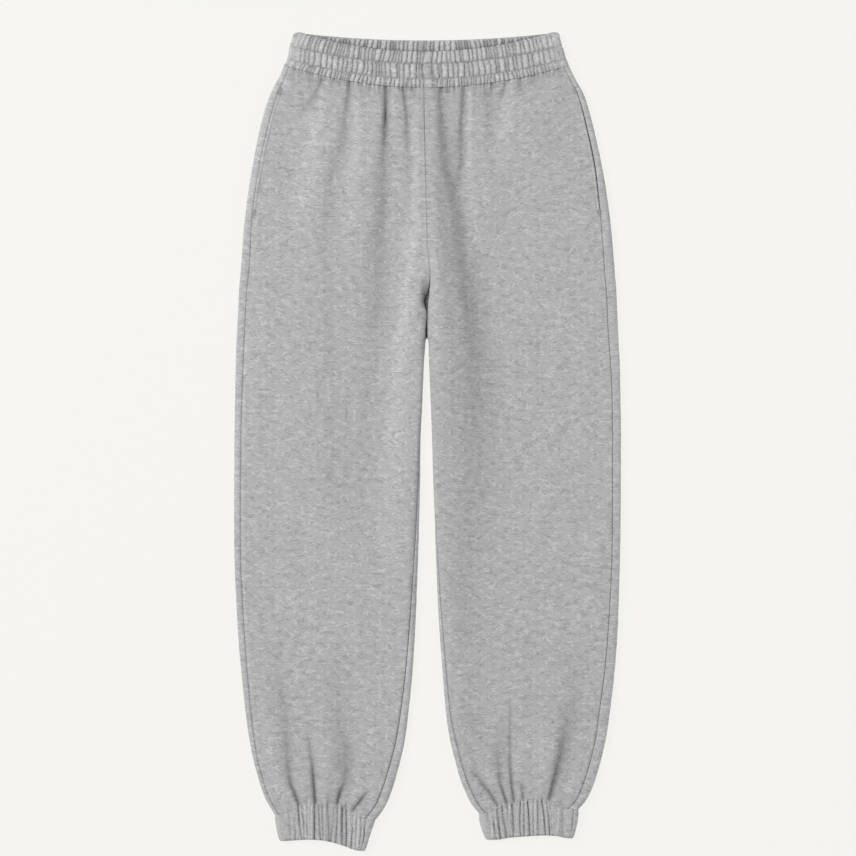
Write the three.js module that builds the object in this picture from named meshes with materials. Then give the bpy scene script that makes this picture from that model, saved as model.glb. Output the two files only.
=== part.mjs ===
// Jogger sweatpants in brushed sweatshirt fleece, laid flat on a table with the front side up.
// X runs across the garment, Y from the ankles up to the waist, and Z off the table. Sizes are in mm.
// Right and left are the wearer's, so the right leg lies at negative X. Every piece is a wall of cloth:
// front and back panels, a gathered waistband, two gathered cuffs and two pocket bags between the panels.
import * as THREE from "three";

const CLOTH = 2.8; // thickness of the fleece
const THINNEST = 1.2; // what a trough leaves of it
const SEAM_GAP = 0.3; // between two pieces that are sewn together
const BAND_WALL = 5.8; // fleece folded round an elastic, in the waistband
const CUFF_WALL = 5.4; // the same in a cuff
const FOLD_REACH = 6; // how far a rounded side fold reaches in from the outline
const EDGE_SPREAD = 26; // how far in the swell along a side fold dies away
const FORK_Y = 126; // where the legs part
const FORK_TAPER = 20; // below it, the stretch in which the legs' inner folds round out underneath
const CUFF_REACH = 75; // above a cuff, the stretch in which the cloth lines up with it
const QUARTER = Math.PI / 2;
const MARL = 0xb2b2b2; // grey fleece
const POCKETING = 0xbcbcbc; // thin knit of the pocket bags

// A table's rows as records, its columns named in one string.
function table(columns, rows) {
  const names = columns.split(" ");
  return rows.map((row) => Object.fromEntries(names.map((name, i) => [name, row[i]])));
}

// One row for each section of the hips and a leg, from the waist seam down. y is the height of its outer
// end, outer its distance from the middle, centre the line that the two legs share and gap the half
// distance between them. dropFront and dropBack are how much lower the section lies at its inner end.
// edge and middle are its thickness at the folds and between them. lipRight and lipLeft say where the
// inner seam lies on each leg's inner fold, in degrees: -90 beneath it, 0 outermost, 90 on top, more
// across the top. Steps is how many strips the stretch below the row is cut into.
const SECTIONS = table("y outer centre gap dropFront dropBack edge middle lipRight lipLeft steps", [
  [458, 175, -4, 0, 25.3, 12.8, 12.4, 12.2, 90, 90, 2],
  [441, 183.5, -4, 0, 23, 11.5, 11.8, 10.8, 90, 90, 1],
  [420, 194, -3.5, 0, 20, 10, 11.3, 9.8, 90, 90, 1],
  [392, 202.5, -3, 0, 16, 8, 11, 9.2, 90, 90, 1],
  [343, 213, -2, 0, 10, 5, 10.8, 9, 90, 90, 1],
  [294, 221, -0.5, 0, 5, 2.5, 10.6, 9, 90, 90, 1],
  [245, 226.5, 0.8, 0, 2, 1, 10.5, 9, 90, 90, 1],
  [202, 229.5, 2.6, 0, 0, 0, 10.5, 9, 84, 84, 1],
  [184, 231, 2.2, 0, 0, 0, 10.4, 9, 40, 40, 1],
  [158, 232.3, 0, 0, 0, 0, 10.4, 9, 0, 0, 1],
  [FORK_Y, 234, -1.3, 0.2, 0, 0, 10.4, 9, -24, -24, 1],
  [108, 234.8, -1.3, 2, 0, 0, 10.4, 9, -16, -20, 1],
  [50, 236, -1.4, 4.4, 0, 0, 10.4, 9, 4, -8, 1],
  [-48, 236.8, -1.1, 7.9, 0, 0, 10.4, 9, 45, 15, 1],
  [-146, 236, -0.7, 11, 0, 0, 10.4, 9, 85, 50, 1],
  [-243, 232, 0, 15.3, 0, 0, 10.5, 9.1, 116, 72, 1],
  [-316, 225, 0, 21, 0, 0, 10.7, 9.4, 132, 84, 1],
  [-366, 218, 0, 27.6, 0, 0, 11, 9.8, 140, 98, 1],
  [-396, 211.5, 0, 34.4, 0, 0, 11.3, 10.3, 144, 104, 1],
  [-420, 204.5, 0, 42, 0, 0, 11.6, 10.8, 144, 102, 1],
  [-438, 197, 0, 50, 0, 0, 11.9, 11.3, 140, 100, 1],
]);

// What differs between the legs. sign is the side of the middle that a leg lies on, and sideSeam how far
// the side seam shows in from the outline at the hip and at the ankle. seam and hem are the upper and
// lower edges of its cuff: outer and inner are the ends' distances from the middle of the garment, y the
// height of the outer end, tilt how much lower the inner end is and arch how far the middle is bowed up.
const LEGS = {
  right: {
    sign: -1,
    lip: "lipRight",
    sideSeam: { hip: 9.5, ankle: 7.5 },
    seam: { y: -457, tilt: 10, arch: 13, outer: 187, inner: 66 },
    hem: { y: -489, tilt: 12, arch: 7, outer: 178, inner: 78 },
  },
  left: {
    sign: 1,
    lip: "lipLeft",
    sideSeam: { hip: 12, ankle: 11 },
    seam: { y: -452, tilt: 4, arch: 11, outer: 185, inner: 63 },
    hem: { y: -486, tilt: 2, arch: 5, outer: 178, inner: 71 },
  },
};

// One row for each large fold of the front: it runs from x0, y0 to x1, y1, is width0 wide at the start
// and width1 at the end, and rises by height there (a minus sign is a trough). start and end are the
// shares of that height at its two ends.
const FOLDS = table("x0 y0 x1 y1 width0 width1 height start end", [
  [-51, 434, -56, 250, 5, 11, -1.7, 1, 0.1],
  [-40, 432, -36, 190, 6, 16, 2.6, 0.8, 0.5],
  [-97, 440, -112, 330, 6, 12, -1.5, 1, 0],
  [-76, 437, -84, 300, 8, 16, 2.4, 0.8, 0],
  [-118, 446, -136, 350, 8, 14, 2.2, 0.8, 0],
  [-30, 432, -24, 380, 5, 8, -1.5, 1, 0],
  [-14, 431, -14, 220, 6, 12, 1.6, 0.6, 0],
  [17, 432, 50, 90, 7, 15, -1.8, 1, 0.5],
  [31, 433, 66, 160, 7, 16, 2.3, 0.7, 0.3],
  [44, 433, 43, 350, 5, 8, -1.6, 1, 0],
  [56, 436, 58, 330, 8, 14, 2.2, 0.8, 0],
  [80, 438, 81, 370, 5, 9, -1.4, 1, 0],
  [104, 441, 112, 340, 9, 16, 2, 0.8, 0],
  [50, 90, 40, -220, 15, 20, -1.2, 0.8, 0],
  [-36, 190, -50, -190, 16, 22, 1.5, 0.9, 0],
  [-158, -442, -174, -392, 6, 9, -1.7, 1, 0],
  [-137, -440, -144, -378, 5, 8, -1.8, 1, 0],
  [-148, -440, -158, -372, 6, 11, 2.6, 0.8, 0],
  [-124, -440, -124, -350, 8, 16, 3, 0.8, 0],
  [-111, -444, -98, -406, 5, 9, -1.8, 1, 0],
  [-100, -448, -84, -400, 7, 12, 2.6, 0.8, 0],
  [-91, -453, -77, -430, 4.5, 7, -1.6, 1, 0],
  [106, -442, 102, -332, 5, 7, -1.7, 1, 0.2],
  [115, -440, 118, -330, 8, 16, 2.8, 0.8, 0],
  [96, -440, 88, -380, 7, 12, 2.2, 0.8, 0],
  [84, -443, 70, -420, 5, 8, -1.6, 1, 0],
  [150, -436, 162, -356, 6, 12, -1.8, 1, 0.1],
  [139, -436, 146, -352, 8, 14, 3, 0.8, 0],
  [164, -438, 178, -372, 7, 12, 2.4, 0.8, 0],
]);

// One row for each line round the waistband, from its seam up: the height and reach of its two corners,
// how much lower the line lies at the middle of the front and back, how far the cloth puffs out there
// and how deep its gathers are.
const BAND_LINES = table("y right left dropFront dropBack puff gather", [
  [458.3, 175, 175, 25.3, 12.8, -0.6, 0.5],
  [461.8, 174.5, 172, 24.4, 12, 0.7, 0.9],
  [465.8, 172.5, 170, 23.4, 11.4, -0.7, 0.35],
  [474.3, 170.5, 168, 21.7, 10.8, 1, 1.1],
  [482.8, 169, 165, 20, 10.2, -0.7, 0.35],
  [490, 166.5, 163, 21.2, 10, 0.8, 0.9],
  [497, 164.5, 161, 22.5, 10, -0.2, 0.7],
]);
const BAND_TOP = { y: 500.3, right: 164, left: 160.5, dropFront: 22.5, dropBack: 10 };
const BAND_CENTRE = -4; // where the lines dip lowest
const BAND_THICK = 12.8; // over both layers of the waistband
const BAND_GATHERS = 56; // across the front
const CUFF_THICK = 12; // over both layers of a cuff
const CUFF_GATHERS = 10; // across the front of a cuff
// One row for each line round a cuff: how far down it lies, and its puff and gathers as on the waistband.
const CUFF_LINES = table("down puff gather", [
  [0, 0, 0.9],
  [0.3, 0.4, 1.3],
  [0.7, 0.2, 1.3],
  [0.93, -0.4, 0.9],
]);
const END_STEPS = 6; // strips round each end of a flattened band
const BRIM_SHARE = 0.45; // where the rounded edge of a folded band is furthest out, across its wall
const SEAM_GATHERS = 12; // small gathers across each front panel, at the waist and again at the ankle
const SEAM_GATHER_DEPTH = 1;
const SEAM_GATHER_LENGTH = 26; // how far they run from the seam
const SIDE_CALM = 11; // the cloth beside a side seam or inner seam, which has no folds
const TAIL = 15; // the stretch of a section next to its inner end, cut finer to follow the inner fold

// The pocket is a slit in the side seam, with a bag of thin cloth behind it.
const POCKET_TOP = 429;
const POCKET_BOTTOM = 279;
const POCKET_GAPE = 1.1;
const BAG = { top: 412, bottom: 196, behind: 3, depth: 112, corner: 40, wall: 0.9, low: 3.15, high: 5.55 };
const BAG_STRIPS = 12;

const mix = (a, b, t) => a + (b - a) * t;
const clamp = (v, lo, hi) => Math.min(hi, Math.max(lo, v));
const smooth = (t) => clamp(t, 0, 1) ** 2 * (3 - 2 * clamp(t, 0, 1));
const radians = (degrees) => (degrees * Math.PI) / 180;

// A smooth curve through one column of a table whose y falls from row to row. It never overshoots a row.
function curve(rows, key) {
  const x = rows.map((row) => row.y);
  const v = rows.map((row) => row[key]);
  const slope = x.slice(1).map((next, i) => (v[i + 1] - v[i]) / (next - x[i]));
  const bend = x.map((_, i) => {
    if (i === 0) return slope[0];
    if (i === x.length - 1) return slope[i - 1];
    const [before, after] = [slope[i - 1], slope[i]];
    return before * after <= 0 ? 0 : (2 * before * after) / (before + after);
  });
  return (y) => {
    let i = 0;
    while (i < x.length - 2 && y < x[i + 1]) i += 1;
    const span = x[i + 1] - x[i];
    const t = (y - x[i]) / span;
    const start = v[i] * (1 + 2 * t) * (1 - t) ** 2 + bend[i] * span * t * (1 - t) ** 2;
    return start + v[i + 1] * t * t * (3 - 2 * t) - bend[i + 1] * span * t * t * (1 - t);
  };
}

// Length of a quarter of an ellipse, near enough for spacing points round a fold.
const quarterArc = (a, b) => QUARTER * Math.sqrt((a * a + b * b) / 2);

// How far the large folds lift the front at a place.
function foldRise(x, y) {
  return FOLDS.reduce((sum, fold) => {
    const along = new THREE.Vector2(fold.x1 - fold.x0, fold.y1 - fold.y0);
    const from = new THREE.Vector2(x - fold.x0, y - fold.y0);
    const t = from.dot(along) / along.lengthSq();
    const off = Math.abs(from.cross(along)) / along.length();
    const past = Math.max(0, -t, t - 1) * along.length();
    const width = mix(fold.width0, fold.width1, clamp(t, 0, 1));
    const share = mix(fold.start, fold.end, smooth(t));
    return sum + fold.height * share * Math.exp(-((off / width) ** 2) - (past / width) ** 2);
  }, 0);
}

// The sections of one leg, from the waist seam to the cuff seam, as functions of y.
function legShape(leg) {
  const last = SECTIONS[SECTIONS.length - 1];
  const cuffSeam = {
    ...last,
    y: leg.seam.y + SEAM_GAP / 2,
    outer: leg.seam.outer,
    gap: leg.seam.inner,
    edge: CUFF_THICK,
    middle: CUFF_THICK,
  };
  const rows = [...SECTIONS, cuffSeam];
  const keys = ["outer", "centre", "gap", "dropFront", "dropBack", "edge", "middle", leg.lip];
  const shape = Object.fromEntries(keys.map((key) => [key, curve(rows, key)]));
  const stations = rows.slice(1).flatMap((row, i) => {
    const above = rows[i];
    return Array.from({ length: above.steps }, (_, k) => mix(above.y, row.y, k / above.steps));
  });
  return { shape, stations: [...stations, cuffSeam.y] };
}

// How much lower than its outer end a line round the hips lies at a distance in from the side. The
// front dips more than the back, but in the side folds they are one.
function sag(dropBack, dropFront, inward, width, isFront) {
  const dip = (a, over) => 1 - (1 - clamp(a / over, 0, 1)) ** 2;
  const more = isFront ? (dropFront - dropBack) * dip(inward - FOLD_REACH, width - FOLD_REACH) : 0;
  return dropBack * dip(inward, width) + more;
}

// How far above its outer end an edge of a cuff lies, a share s of the way in.
const bow = (edge, s) => 4 * s * (1 - s) * edge.arch - s * edge.tilt;

// One section of a leg at height y. top(l) and under(l) give a place on its outside, l being the distance
// round from the outermost line of the outer fold, over the top or underneath. A place is a, how far in
// from the outline it lies, z, and the outward direction there. frontEnd and backEnd are where the inner
// seam cuts each way round. at(place, lift) is the point that lies lift further out.
function section(leg, shape, y) {
  const outer = shape.outer(y);
  const inner = leg.sign * shape.centre(y) + shape.gap(y) + SEAM_GAP / 2;
  const width = outer - inner;
  const edge = shape.edge(y);
  const middle = shape.middle(y);
  const lip = radians(shape[leg.lip](y));
  const parted = y <= FORK_Y;
  const turned = parted ? 1 : Math.cos(clamp(lip, 0, QUARTER));
  const footReach = FOLD_REACH * smooth((FORK_Y - y) / FORK_TAPER);
  const arc = quarterArc(FOLD_REACH, edge / 2);
  const flat = width - FOLD_REACH - FOLD_REACH * turned;
  const flatUnder = width - FOLD_REACH - footReach;
  const ankle = smooth(1 - (y - leg.seam.y) / CUFF_REACH);

  const at = (place, lift) => {
    const a = place.a + place.outA * lift;
    const z = place.z + place.outZ * lift;
    const down = sag(shape.dropBack(y), shape.dropFront(y), a, width, z > edge / 2);
    const up = ankle * bow(leg.seam, clamp(a / width, 0, 1));
    return new THREE.Vector3(leg.sign * (outer - a), y - down + up, z);
  };
  const swell = (a) => {
    const atOuter = Math.exp(-(((a - FOLD_REACH) / EDGE_SPREAD) ** 2));
    const atInner = turned * Math.exp(-(((width - FOLD_REACH * turned - a) / EDGE_SPREAD) ** 2));
    return middle + (edge - middle) * Math.min(1, atOuter + atInner);
  };
  const outerFold = (angle) => ({
    a: FOLD_REACH * (1 - Math.cos(angle)),
    z: (edge / 2) * (1 + Math.sin(angle)),
    outA: -Math.cos(angle),
    outZ: Math.sin(angle),
  });
  const innerFold = (angle) => {
    const above = FOLD_REACH * (turned - Math.cos(angle));
    const below = footReach * (1 - Math.cos(angle));
    return {
      a: width - (angle > 0 ? above : below),
      z: (swell(FOLD_REACH + flat) / 2) * (1 + Math.sin(angle)),
      outA: Math.cos(angle),
      outZ: Math.sin(angle),
    };
  };
  const across = (a) => ({ a, z: swell(a), outA: 0, outZ: 1 });
  const beneath = (a) => ({ a, z: 0, outA: 0, outZ: -1 });

  function top(l) {
    if (l < arc) return outerFold((l / arc) * QUARTER);
    if (l < arc + flat) return across(FOLD_REACH + l - arc);
    return innerFold(QUARTER * (1 - (l - arc - flat) / arc));
  }

  function under(l) {
    if (l < arc) return outerFold((-l / arc) * QUARTER);
    const past = l - arc - flatUnder;
    if (past < 0 || !parted) return beneath(FOLD_REACH + l - arc);
    if (past < 2 * arc) return innerFold(QUARTER * (past / arc - 1));
    return across(width - FOLD_REACH - (past - 2 * arc));
  }

  const frontEnd = arc + flat + arc * (1 - lip / QUARTER);
  const backEnd = parted ? arc + flatUnder + arc * (1 + lip / QUARTER) : arc + width - FOLD_REACH;
  return { top, under, at, frontEnd, backEnd, arc, width };
}

// How far the side seam of a leg lies round the outer fold, over the top.
function sideSeam(leg, arc, y) {
  const down = smooth((POCKET_BOTTOM - y) / (POCKET_BOTTOM - leg.seam.y));
  return arc + mix(leg.sideSeam.hip, leg.sideSeam.ankle, down) - FOLD_REACH;
}

// How wide the pocket slit gapes at height y.
function gape(y) {
  const t = (y - POCKET_BOTTOM) / (POCKET_TOP - POCKET_BOTTOM);
  return t <= 0 || t >= 1 ? 0 : POCKET_GAPE * Math.sin(Math.PI * t) ** 0.5;
}

// A closed body from rings of points, one ring for each row; both ends are closed by strips between the
// first half of the ring (the outside) and the second half (the inside).
function wallBody(rings) {
  const count = rings[0].length;
  const half = count / 2;
  const index = [];
  const quad = (a, b, c, d) => index.push(a, b, c, a, c, d);
  for (let row = 0; row + 1 < rings.length; row += 1) {
    for (let k = 0; k < count; k += 1) {
      const next = (k + 1) % count;
      quad(row * count + k, row * count + next, (row + 1) * count + next, (row + 1) * count + k);
    }
  }
  const end = (rings.length - 1) * count;
  for (let k = 0; k + 1 < half; k += 1) {
    quad(k, count - 1 - k, count - 2 - k, k + 1);
    quad(end + k, end + k + 1, end + count - 2 - k, end + count - 1 - k);
  }
  return bodyFrom(rings.flat(), index);
}

// A closed ring-shaped body: each column is the same closed outline of points, and the last column
// joins the first.
function ringBody(columns) {
  const count = columns[0].length;
  const index = [];
  columns.forEach((_, column) => {
    const after = (column + 1) % columns.length;
    for (let k = 0; k < count; k += 1) {
      const next = (k + 1) % count;
      const corners = [column * count + k, column * count + next, after * count + next, after * count + k];
      index.push(corners[0], corners[1], corners[2], corners[0], corners[2], corners[3]);
    }
  });
  return bodyFrom(columns.flat(), index);
}

// Turns points and triangles into a geometry whose faces point outwards.
function bodyFrom(points, index) {
  let volume = 0;
  for (let i = 0; i < index.length; i += 3) {
    const [a, b, c] = [points[index[i]], points[index[i + 1]], points[index[i + 2]]];
    volume += a.dot(b.clone().cross(c));
  }
  if (volume < 0) index.reverse();
  const geometry = new THREE.BufferGeometry().setFromPoints(points);
  geometry.setIndex(index);
  geometry.computeVertexNormals();
  return geometry;
}

// A front panel: from the side seam over the top to the centre front seam, and below that to the inner
// seam. The last few columns follow the inner fold.
function frontPanel(leg) {
  const { shape, stations } = legShape(leg);
  const main = 2 * SEAM_GATHERS;
  const tail = 4;
  const rings = stations.map((y) => {
    const cut = section(leg, shape, y);
    const start = sideSeam(leg, cut.arc, y) + SEAM_GAP / 2 + gape(y);
    const end = cut.frontEnd - SEAM_GAP / 2;
    const bend = end - TAIL;
    const fromSeam = Math.min(SECTIONS[0].y - y, y - leg.seam.y);
    const gathered = SEAM_GATHER_DEPTH * Math.exp(-((fromSeam / SEAM_GATHER_LENGTH) ** 2));
    const outside = [];
    const inside = [];
    for (let k = 0; k <= main + tail; k += 1) {
      const l = k <= main ? mix(start, bend, k / main) : mix(bend, end, (k - main) / tail);
      const place = cut.top(l);
      const { x, y: height } = cut.at(place, 0);
      const fromEdge = smooth((l - start) / SIDE_CALM) * smooth((end - l) / SIDE_CALM);
      const fold = foldRise(x, height) * fromEdge;
      const gather = (k % 2 ? -1 : 1) * gathered * fromEdge;
      outside.push(cut.at(place, Math.max(fold + gather, THINNEST - CLOTH)));
      inside.push(cut.at(place, Math.max(0, fold) - CLOTH));
    }
    return [...outside, ...inside.reverse()];
  });
  return wallBody(rings);
}

// A back panel: from the side seam round the outer fold, flat along the table, to the centre back seam,
// and below the fork round the inner fold to the inner seam.
function backPanel(leg) {
  const { shape, stations } = legShape(leg);
  const rings = stations.map((y) => {
    const cut = section(leg, shape, y);
    const seam = sideSeam(leg, cut.arc, y) - SEAM_GAP / 2;
    const bend = cut.arc + cut.width - FOLD_REACH - TAIL;
    const stretches = [
      { from: -seam, to: cut.arc, steps: 6 },
      { from: cut.arc, to: bend, steps: 8 },
      { from: bend, to: cut.backEnd - SEAM_GAP / 2, steps: 5 },
    ];
    const lengths = stretches.flatMap(({ from, to, steps }) =>
      Array.from({ length: steps }, (_, k) => mix(from, to, k / steps)),
    );
    const places = [...lengths, cut.backEnd - SEAM_GAP / 2].map((l) => (l < 0 ? cut.top(-l) : cut.under(l)));
    const outside = places.map((place) => cut.at(place, 0));
    const inside = places.map((place) => cut.at(place, -CLOTH));
    return [...outside, ...inside.reverse()];
  });
  return wallBody(rings);
}

// Columns round a flattened tube. across runs from -1 at the right end of a layer to 1 at its left end,
// angle turns from a quarter on top to minus a quarter underneath round each end, end is the end that a
// column is on, or 0 between them, and wave is 1 and -1 by turns along the top.
function tubeColumns(perLayer, perEnd) {
  const layer = (angle, side, waved) =>
    Array.from({ length: perLayer + 1 }, (_, k) => {
      const across = side * mix(-1, 1, k / perLayer);
      return { across, angle, end: 0, wave: waved * (k % 2 ? -1 : 1) };
    });
  const turn = (side) =>
    Array.from({ length: perEnd - 1 }, (_, k) => {
      const angle = side * QUARTER * (1 - (2 * (k + 1)) / perEnd);
      return { across: side, angle, end: side, wave: 0 };
    });
  return [...layer(QUARTER, 1, 1), ...turn(1), ...layer(-QUARTER, -1, 0), ...turn(-1)];
}

// The waistband: a ring flattened on the table, whose outside is gathered in three rows between its
// stitch lines. It is plain inside and underneath.
function waistband() {
  const columns = tubeColumns(2 * BAND_GATHERS, END_STEPS).map(({ across, angle, end, wave }) => {
    const onTop = Math.max(0, Math.sin(angle));
    const at = (line, inward, rise) => {
      const middle = (line.left - line.right) / 2;
      const half = (line.left + line.right) / 2;
      const x = middle + across * (half - FOLD_REACH) + end * (FOLD_REACH - inward) * Math.cos(angle);
      const z = BAND_THICK / 2 + (BAND_THICK / 2 - inward + rise) * Math.sin(angle);
      const fromSide = x < BAND_CENTRE ? x + line.right : line.left - x;
      const width = x < BAND_CENTRE ? BAND_CENTRE + line.right : line.left - BAND_CENTRE;
      const down = sag(line.dropBack, line.dropFront, fromSide, width, angle > 0);
      return new THREE.Vector3(x, line.y - down, z);
    };
    const outside = BAND_LINES.map((line) => at(line, 0, onTop * (line.puff + wave * line.gather)));
    const brim = at(BAND_TOP, BAND_WALL * BRIM_SHARE, 0);
    return [...outside, brim, at(BAND_TOP, BAND_WALL, 0), at(BAND_LINES[0], BAND_WALL, 0)];
  });
  return ringBody(columns);
}

// A cuff: a ring flattened on the table, from its seam with the leg down to its folded lower edge.
function cuff(leg) {
  const columns = tubeColumns(2 * CUFF_GATHERS, END_STEPS).map(({ across, angle, end, wave }) => {
    const onTop = Math.max(0, Math.sin(angle));
    const at = (down, inward, rise) => {
      const outer = mix(leg.seam.outer, leg.hem.outer, down);
      const inner = mix(leg.seam.inner, leg.hem.inner, down);
      const half = (outer - inner) / 2;
      const offset = across * (half - FOLD_REACH) + end * (FOLD_REACH - inward) * Math.cos(angle);
      const s = clamp(0.5 - (leg.sign * offset) / (2 * half), 0, 1);
      const y = mix(leg.seam.y - SEAM_GAP / 2 + bow(leg.seam, s), leg.hem.y + bow(leg.hem, s), down);
      const z = CUFF_THICK / 2 + (CUFF_THICK / 2 - inward + rise) * Math.sin(angle);
      return new THREE.Vector3((leg.sign * (outer + inner)) / 2 + offset, y, z);
    };
    const outside = CUFF_LINES.map((line) => at(line.down, 0, onTop * (line.puff + wave * line.gather)));
    return [...outside, at(1, CUFF_WALL * BRIM_SHARE, 0), at(1, CUFF_WALL, 0), at(0, CUFF_WALL, 0)];
  });
  return ringBody(columns);
}

// A pocket bag: two thin layers joined all round but at the mouth, which lies under the slit. Its
// section is a hairpin, and its depth shrinks in a rounded lower corner.
function pocketBag(leg) {
  const { shape } = legShape(leg);
  const hairpin = (y, mouth, end, low, high) => {
    const width = shape.outer(y) - leg.sign * shape.centre(y);
    const corners = [mouth, (mouth + end) / 2, end].map((a) => {
      const down = sag(shape.dropBack(y), 0, a, width, false);
      return { x: leg.sign * (shape.outer(y) - a), y: y - down };
    });
    const under = corners.map((corner) => new THREE.Vector3(corner.x, corner.y, low));
    const over = corners.map((corner) => new THREE.Vector3(corner.x, corner.y, high));
    return [...under, ...over.reverse()];
  };
  const rings = Array.from({ length: BAG_STRIPS + 1 }, (_, k) => {
    const y = mix(BAG.top, BAG.bottom, k / BAG_STRIPS);
    const round = clamp((BAG.bottom + BAG.corner - y) / BAG.corner, 0, 1);
    const mouth = leg.sideSeam.hip + BAG.behind;
    const end = mouth + BAG.depth - BAG.corner * (1 - Math.sqrt(1 - round * round));
    const outside = hairpin(y, mouth, end, BAG.low, BAG.high);
    const inside = hairpin(y, mouth, end - BAG.wall, BAG.low + BAG.wall, BAG.high - BAG.wall);
    return [...outside, ...inside.reverse()];
  });
  return wallBody(rings);
}

function piece(name, geometry, color) {
  const cloth = new THREE.MeshStandardMaterial({ color, roughness: 0.95, metalness: 0 });
  const mesh = new THREE.Mesh(geometry, cloth);
  mesh.name = name;
  return mesh;
}

const sweatpants = new THREE.Group();
for (const [side, leg] of Object.entries(LEGS)) {
  sweatpants.add(piece(`front_${side}`, frontPanel(leg), MARL));
  sweatpants.add(piece(`back_${side}`, backPanel(leg), MARL));
  sweatpants.add(piece(`cuff_${side}`, cuff(leg), MARL));
  sweatpants.add(piece(`pocket_bag_${side}`, pocketBag(leg), POCKETING));
}
sweatpants.add(piece("waistband", waistband(), MARL));

export default sweatpants;
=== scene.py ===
"""Grey marl jogger sweatpants laid flat, front side up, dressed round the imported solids.

X runs across the garment, Y from the ankles up to the waist and Z off the table. Sizes are in
millimetres until a mesh is made. Right and left are the wearer's, so the right leg is at negative X.
Every piece of cloth is a closed thin shell: its outside is a fine grid, worked out as the height of the
flattened tube with its folds and gathers added, and its inside is a coarser grid one cloth below.
"""

import math

import bpy
import numpy as np
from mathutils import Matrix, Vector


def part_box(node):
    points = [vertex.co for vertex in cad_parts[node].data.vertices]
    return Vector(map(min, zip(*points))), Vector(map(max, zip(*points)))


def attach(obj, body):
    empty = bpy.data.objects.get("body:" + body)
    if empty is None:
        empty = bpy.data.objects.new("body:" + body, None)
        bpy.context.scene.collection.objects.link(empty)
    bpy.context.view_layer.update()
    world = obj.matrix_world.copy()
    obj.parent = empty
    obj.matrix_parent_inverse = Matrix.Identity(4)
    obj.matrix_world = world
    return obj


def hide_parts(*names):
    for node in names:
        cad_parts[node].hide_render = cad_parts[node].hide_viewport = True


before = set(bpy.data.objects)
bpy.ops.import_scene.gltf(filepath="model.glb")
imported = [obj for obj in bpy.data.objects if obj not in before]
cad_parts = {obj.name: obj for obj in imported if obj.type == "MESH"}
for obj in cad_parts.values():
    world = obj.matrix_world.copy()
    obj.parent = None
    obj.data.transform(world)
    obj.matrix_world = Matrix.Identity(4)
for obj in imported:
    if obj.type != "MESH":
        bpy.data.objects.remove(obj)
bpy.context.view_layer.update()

MM = 0.001
CLOTH = 2.8  # thickness of the fleece
SEAM_GAP = 0.06  # between two pieces that are sewn together
FOLD_REACH = 6.0  # how far a rounded side fold reaches in from the outline
EDGE_SPREAD = 26.0  # how far in the swell along a side fold dies away
FORK_Y = 126.0  # where the legs part
FORK_TAPER = 20.0  # below it, the stretch in which the inner folds round out underneath
CUFF_REACH = 75.0  # above a cuff, the stretch in which the cloth lines up with it
QUARTER = math.pi / 2


def node_size(name, axis):
    """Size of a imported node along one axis, in millimetres."""
    low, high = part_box(name)
    return (high[axis] - low[axis]) / MM


BAND_THICK = node_size("waistband", 2) - 2.1  # over both layers, less the puff of the gathers
CUFF_THICK = node_size("cuff_left", 2) - 1.7


def table(columns, rows):
    """A table as arrays, one for each column named in the string."""
    names = columns.split()
    values = np.array(rows, dtype=float)
    return {name: values[:, i] for i, name in enumerate(names)}


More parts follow.
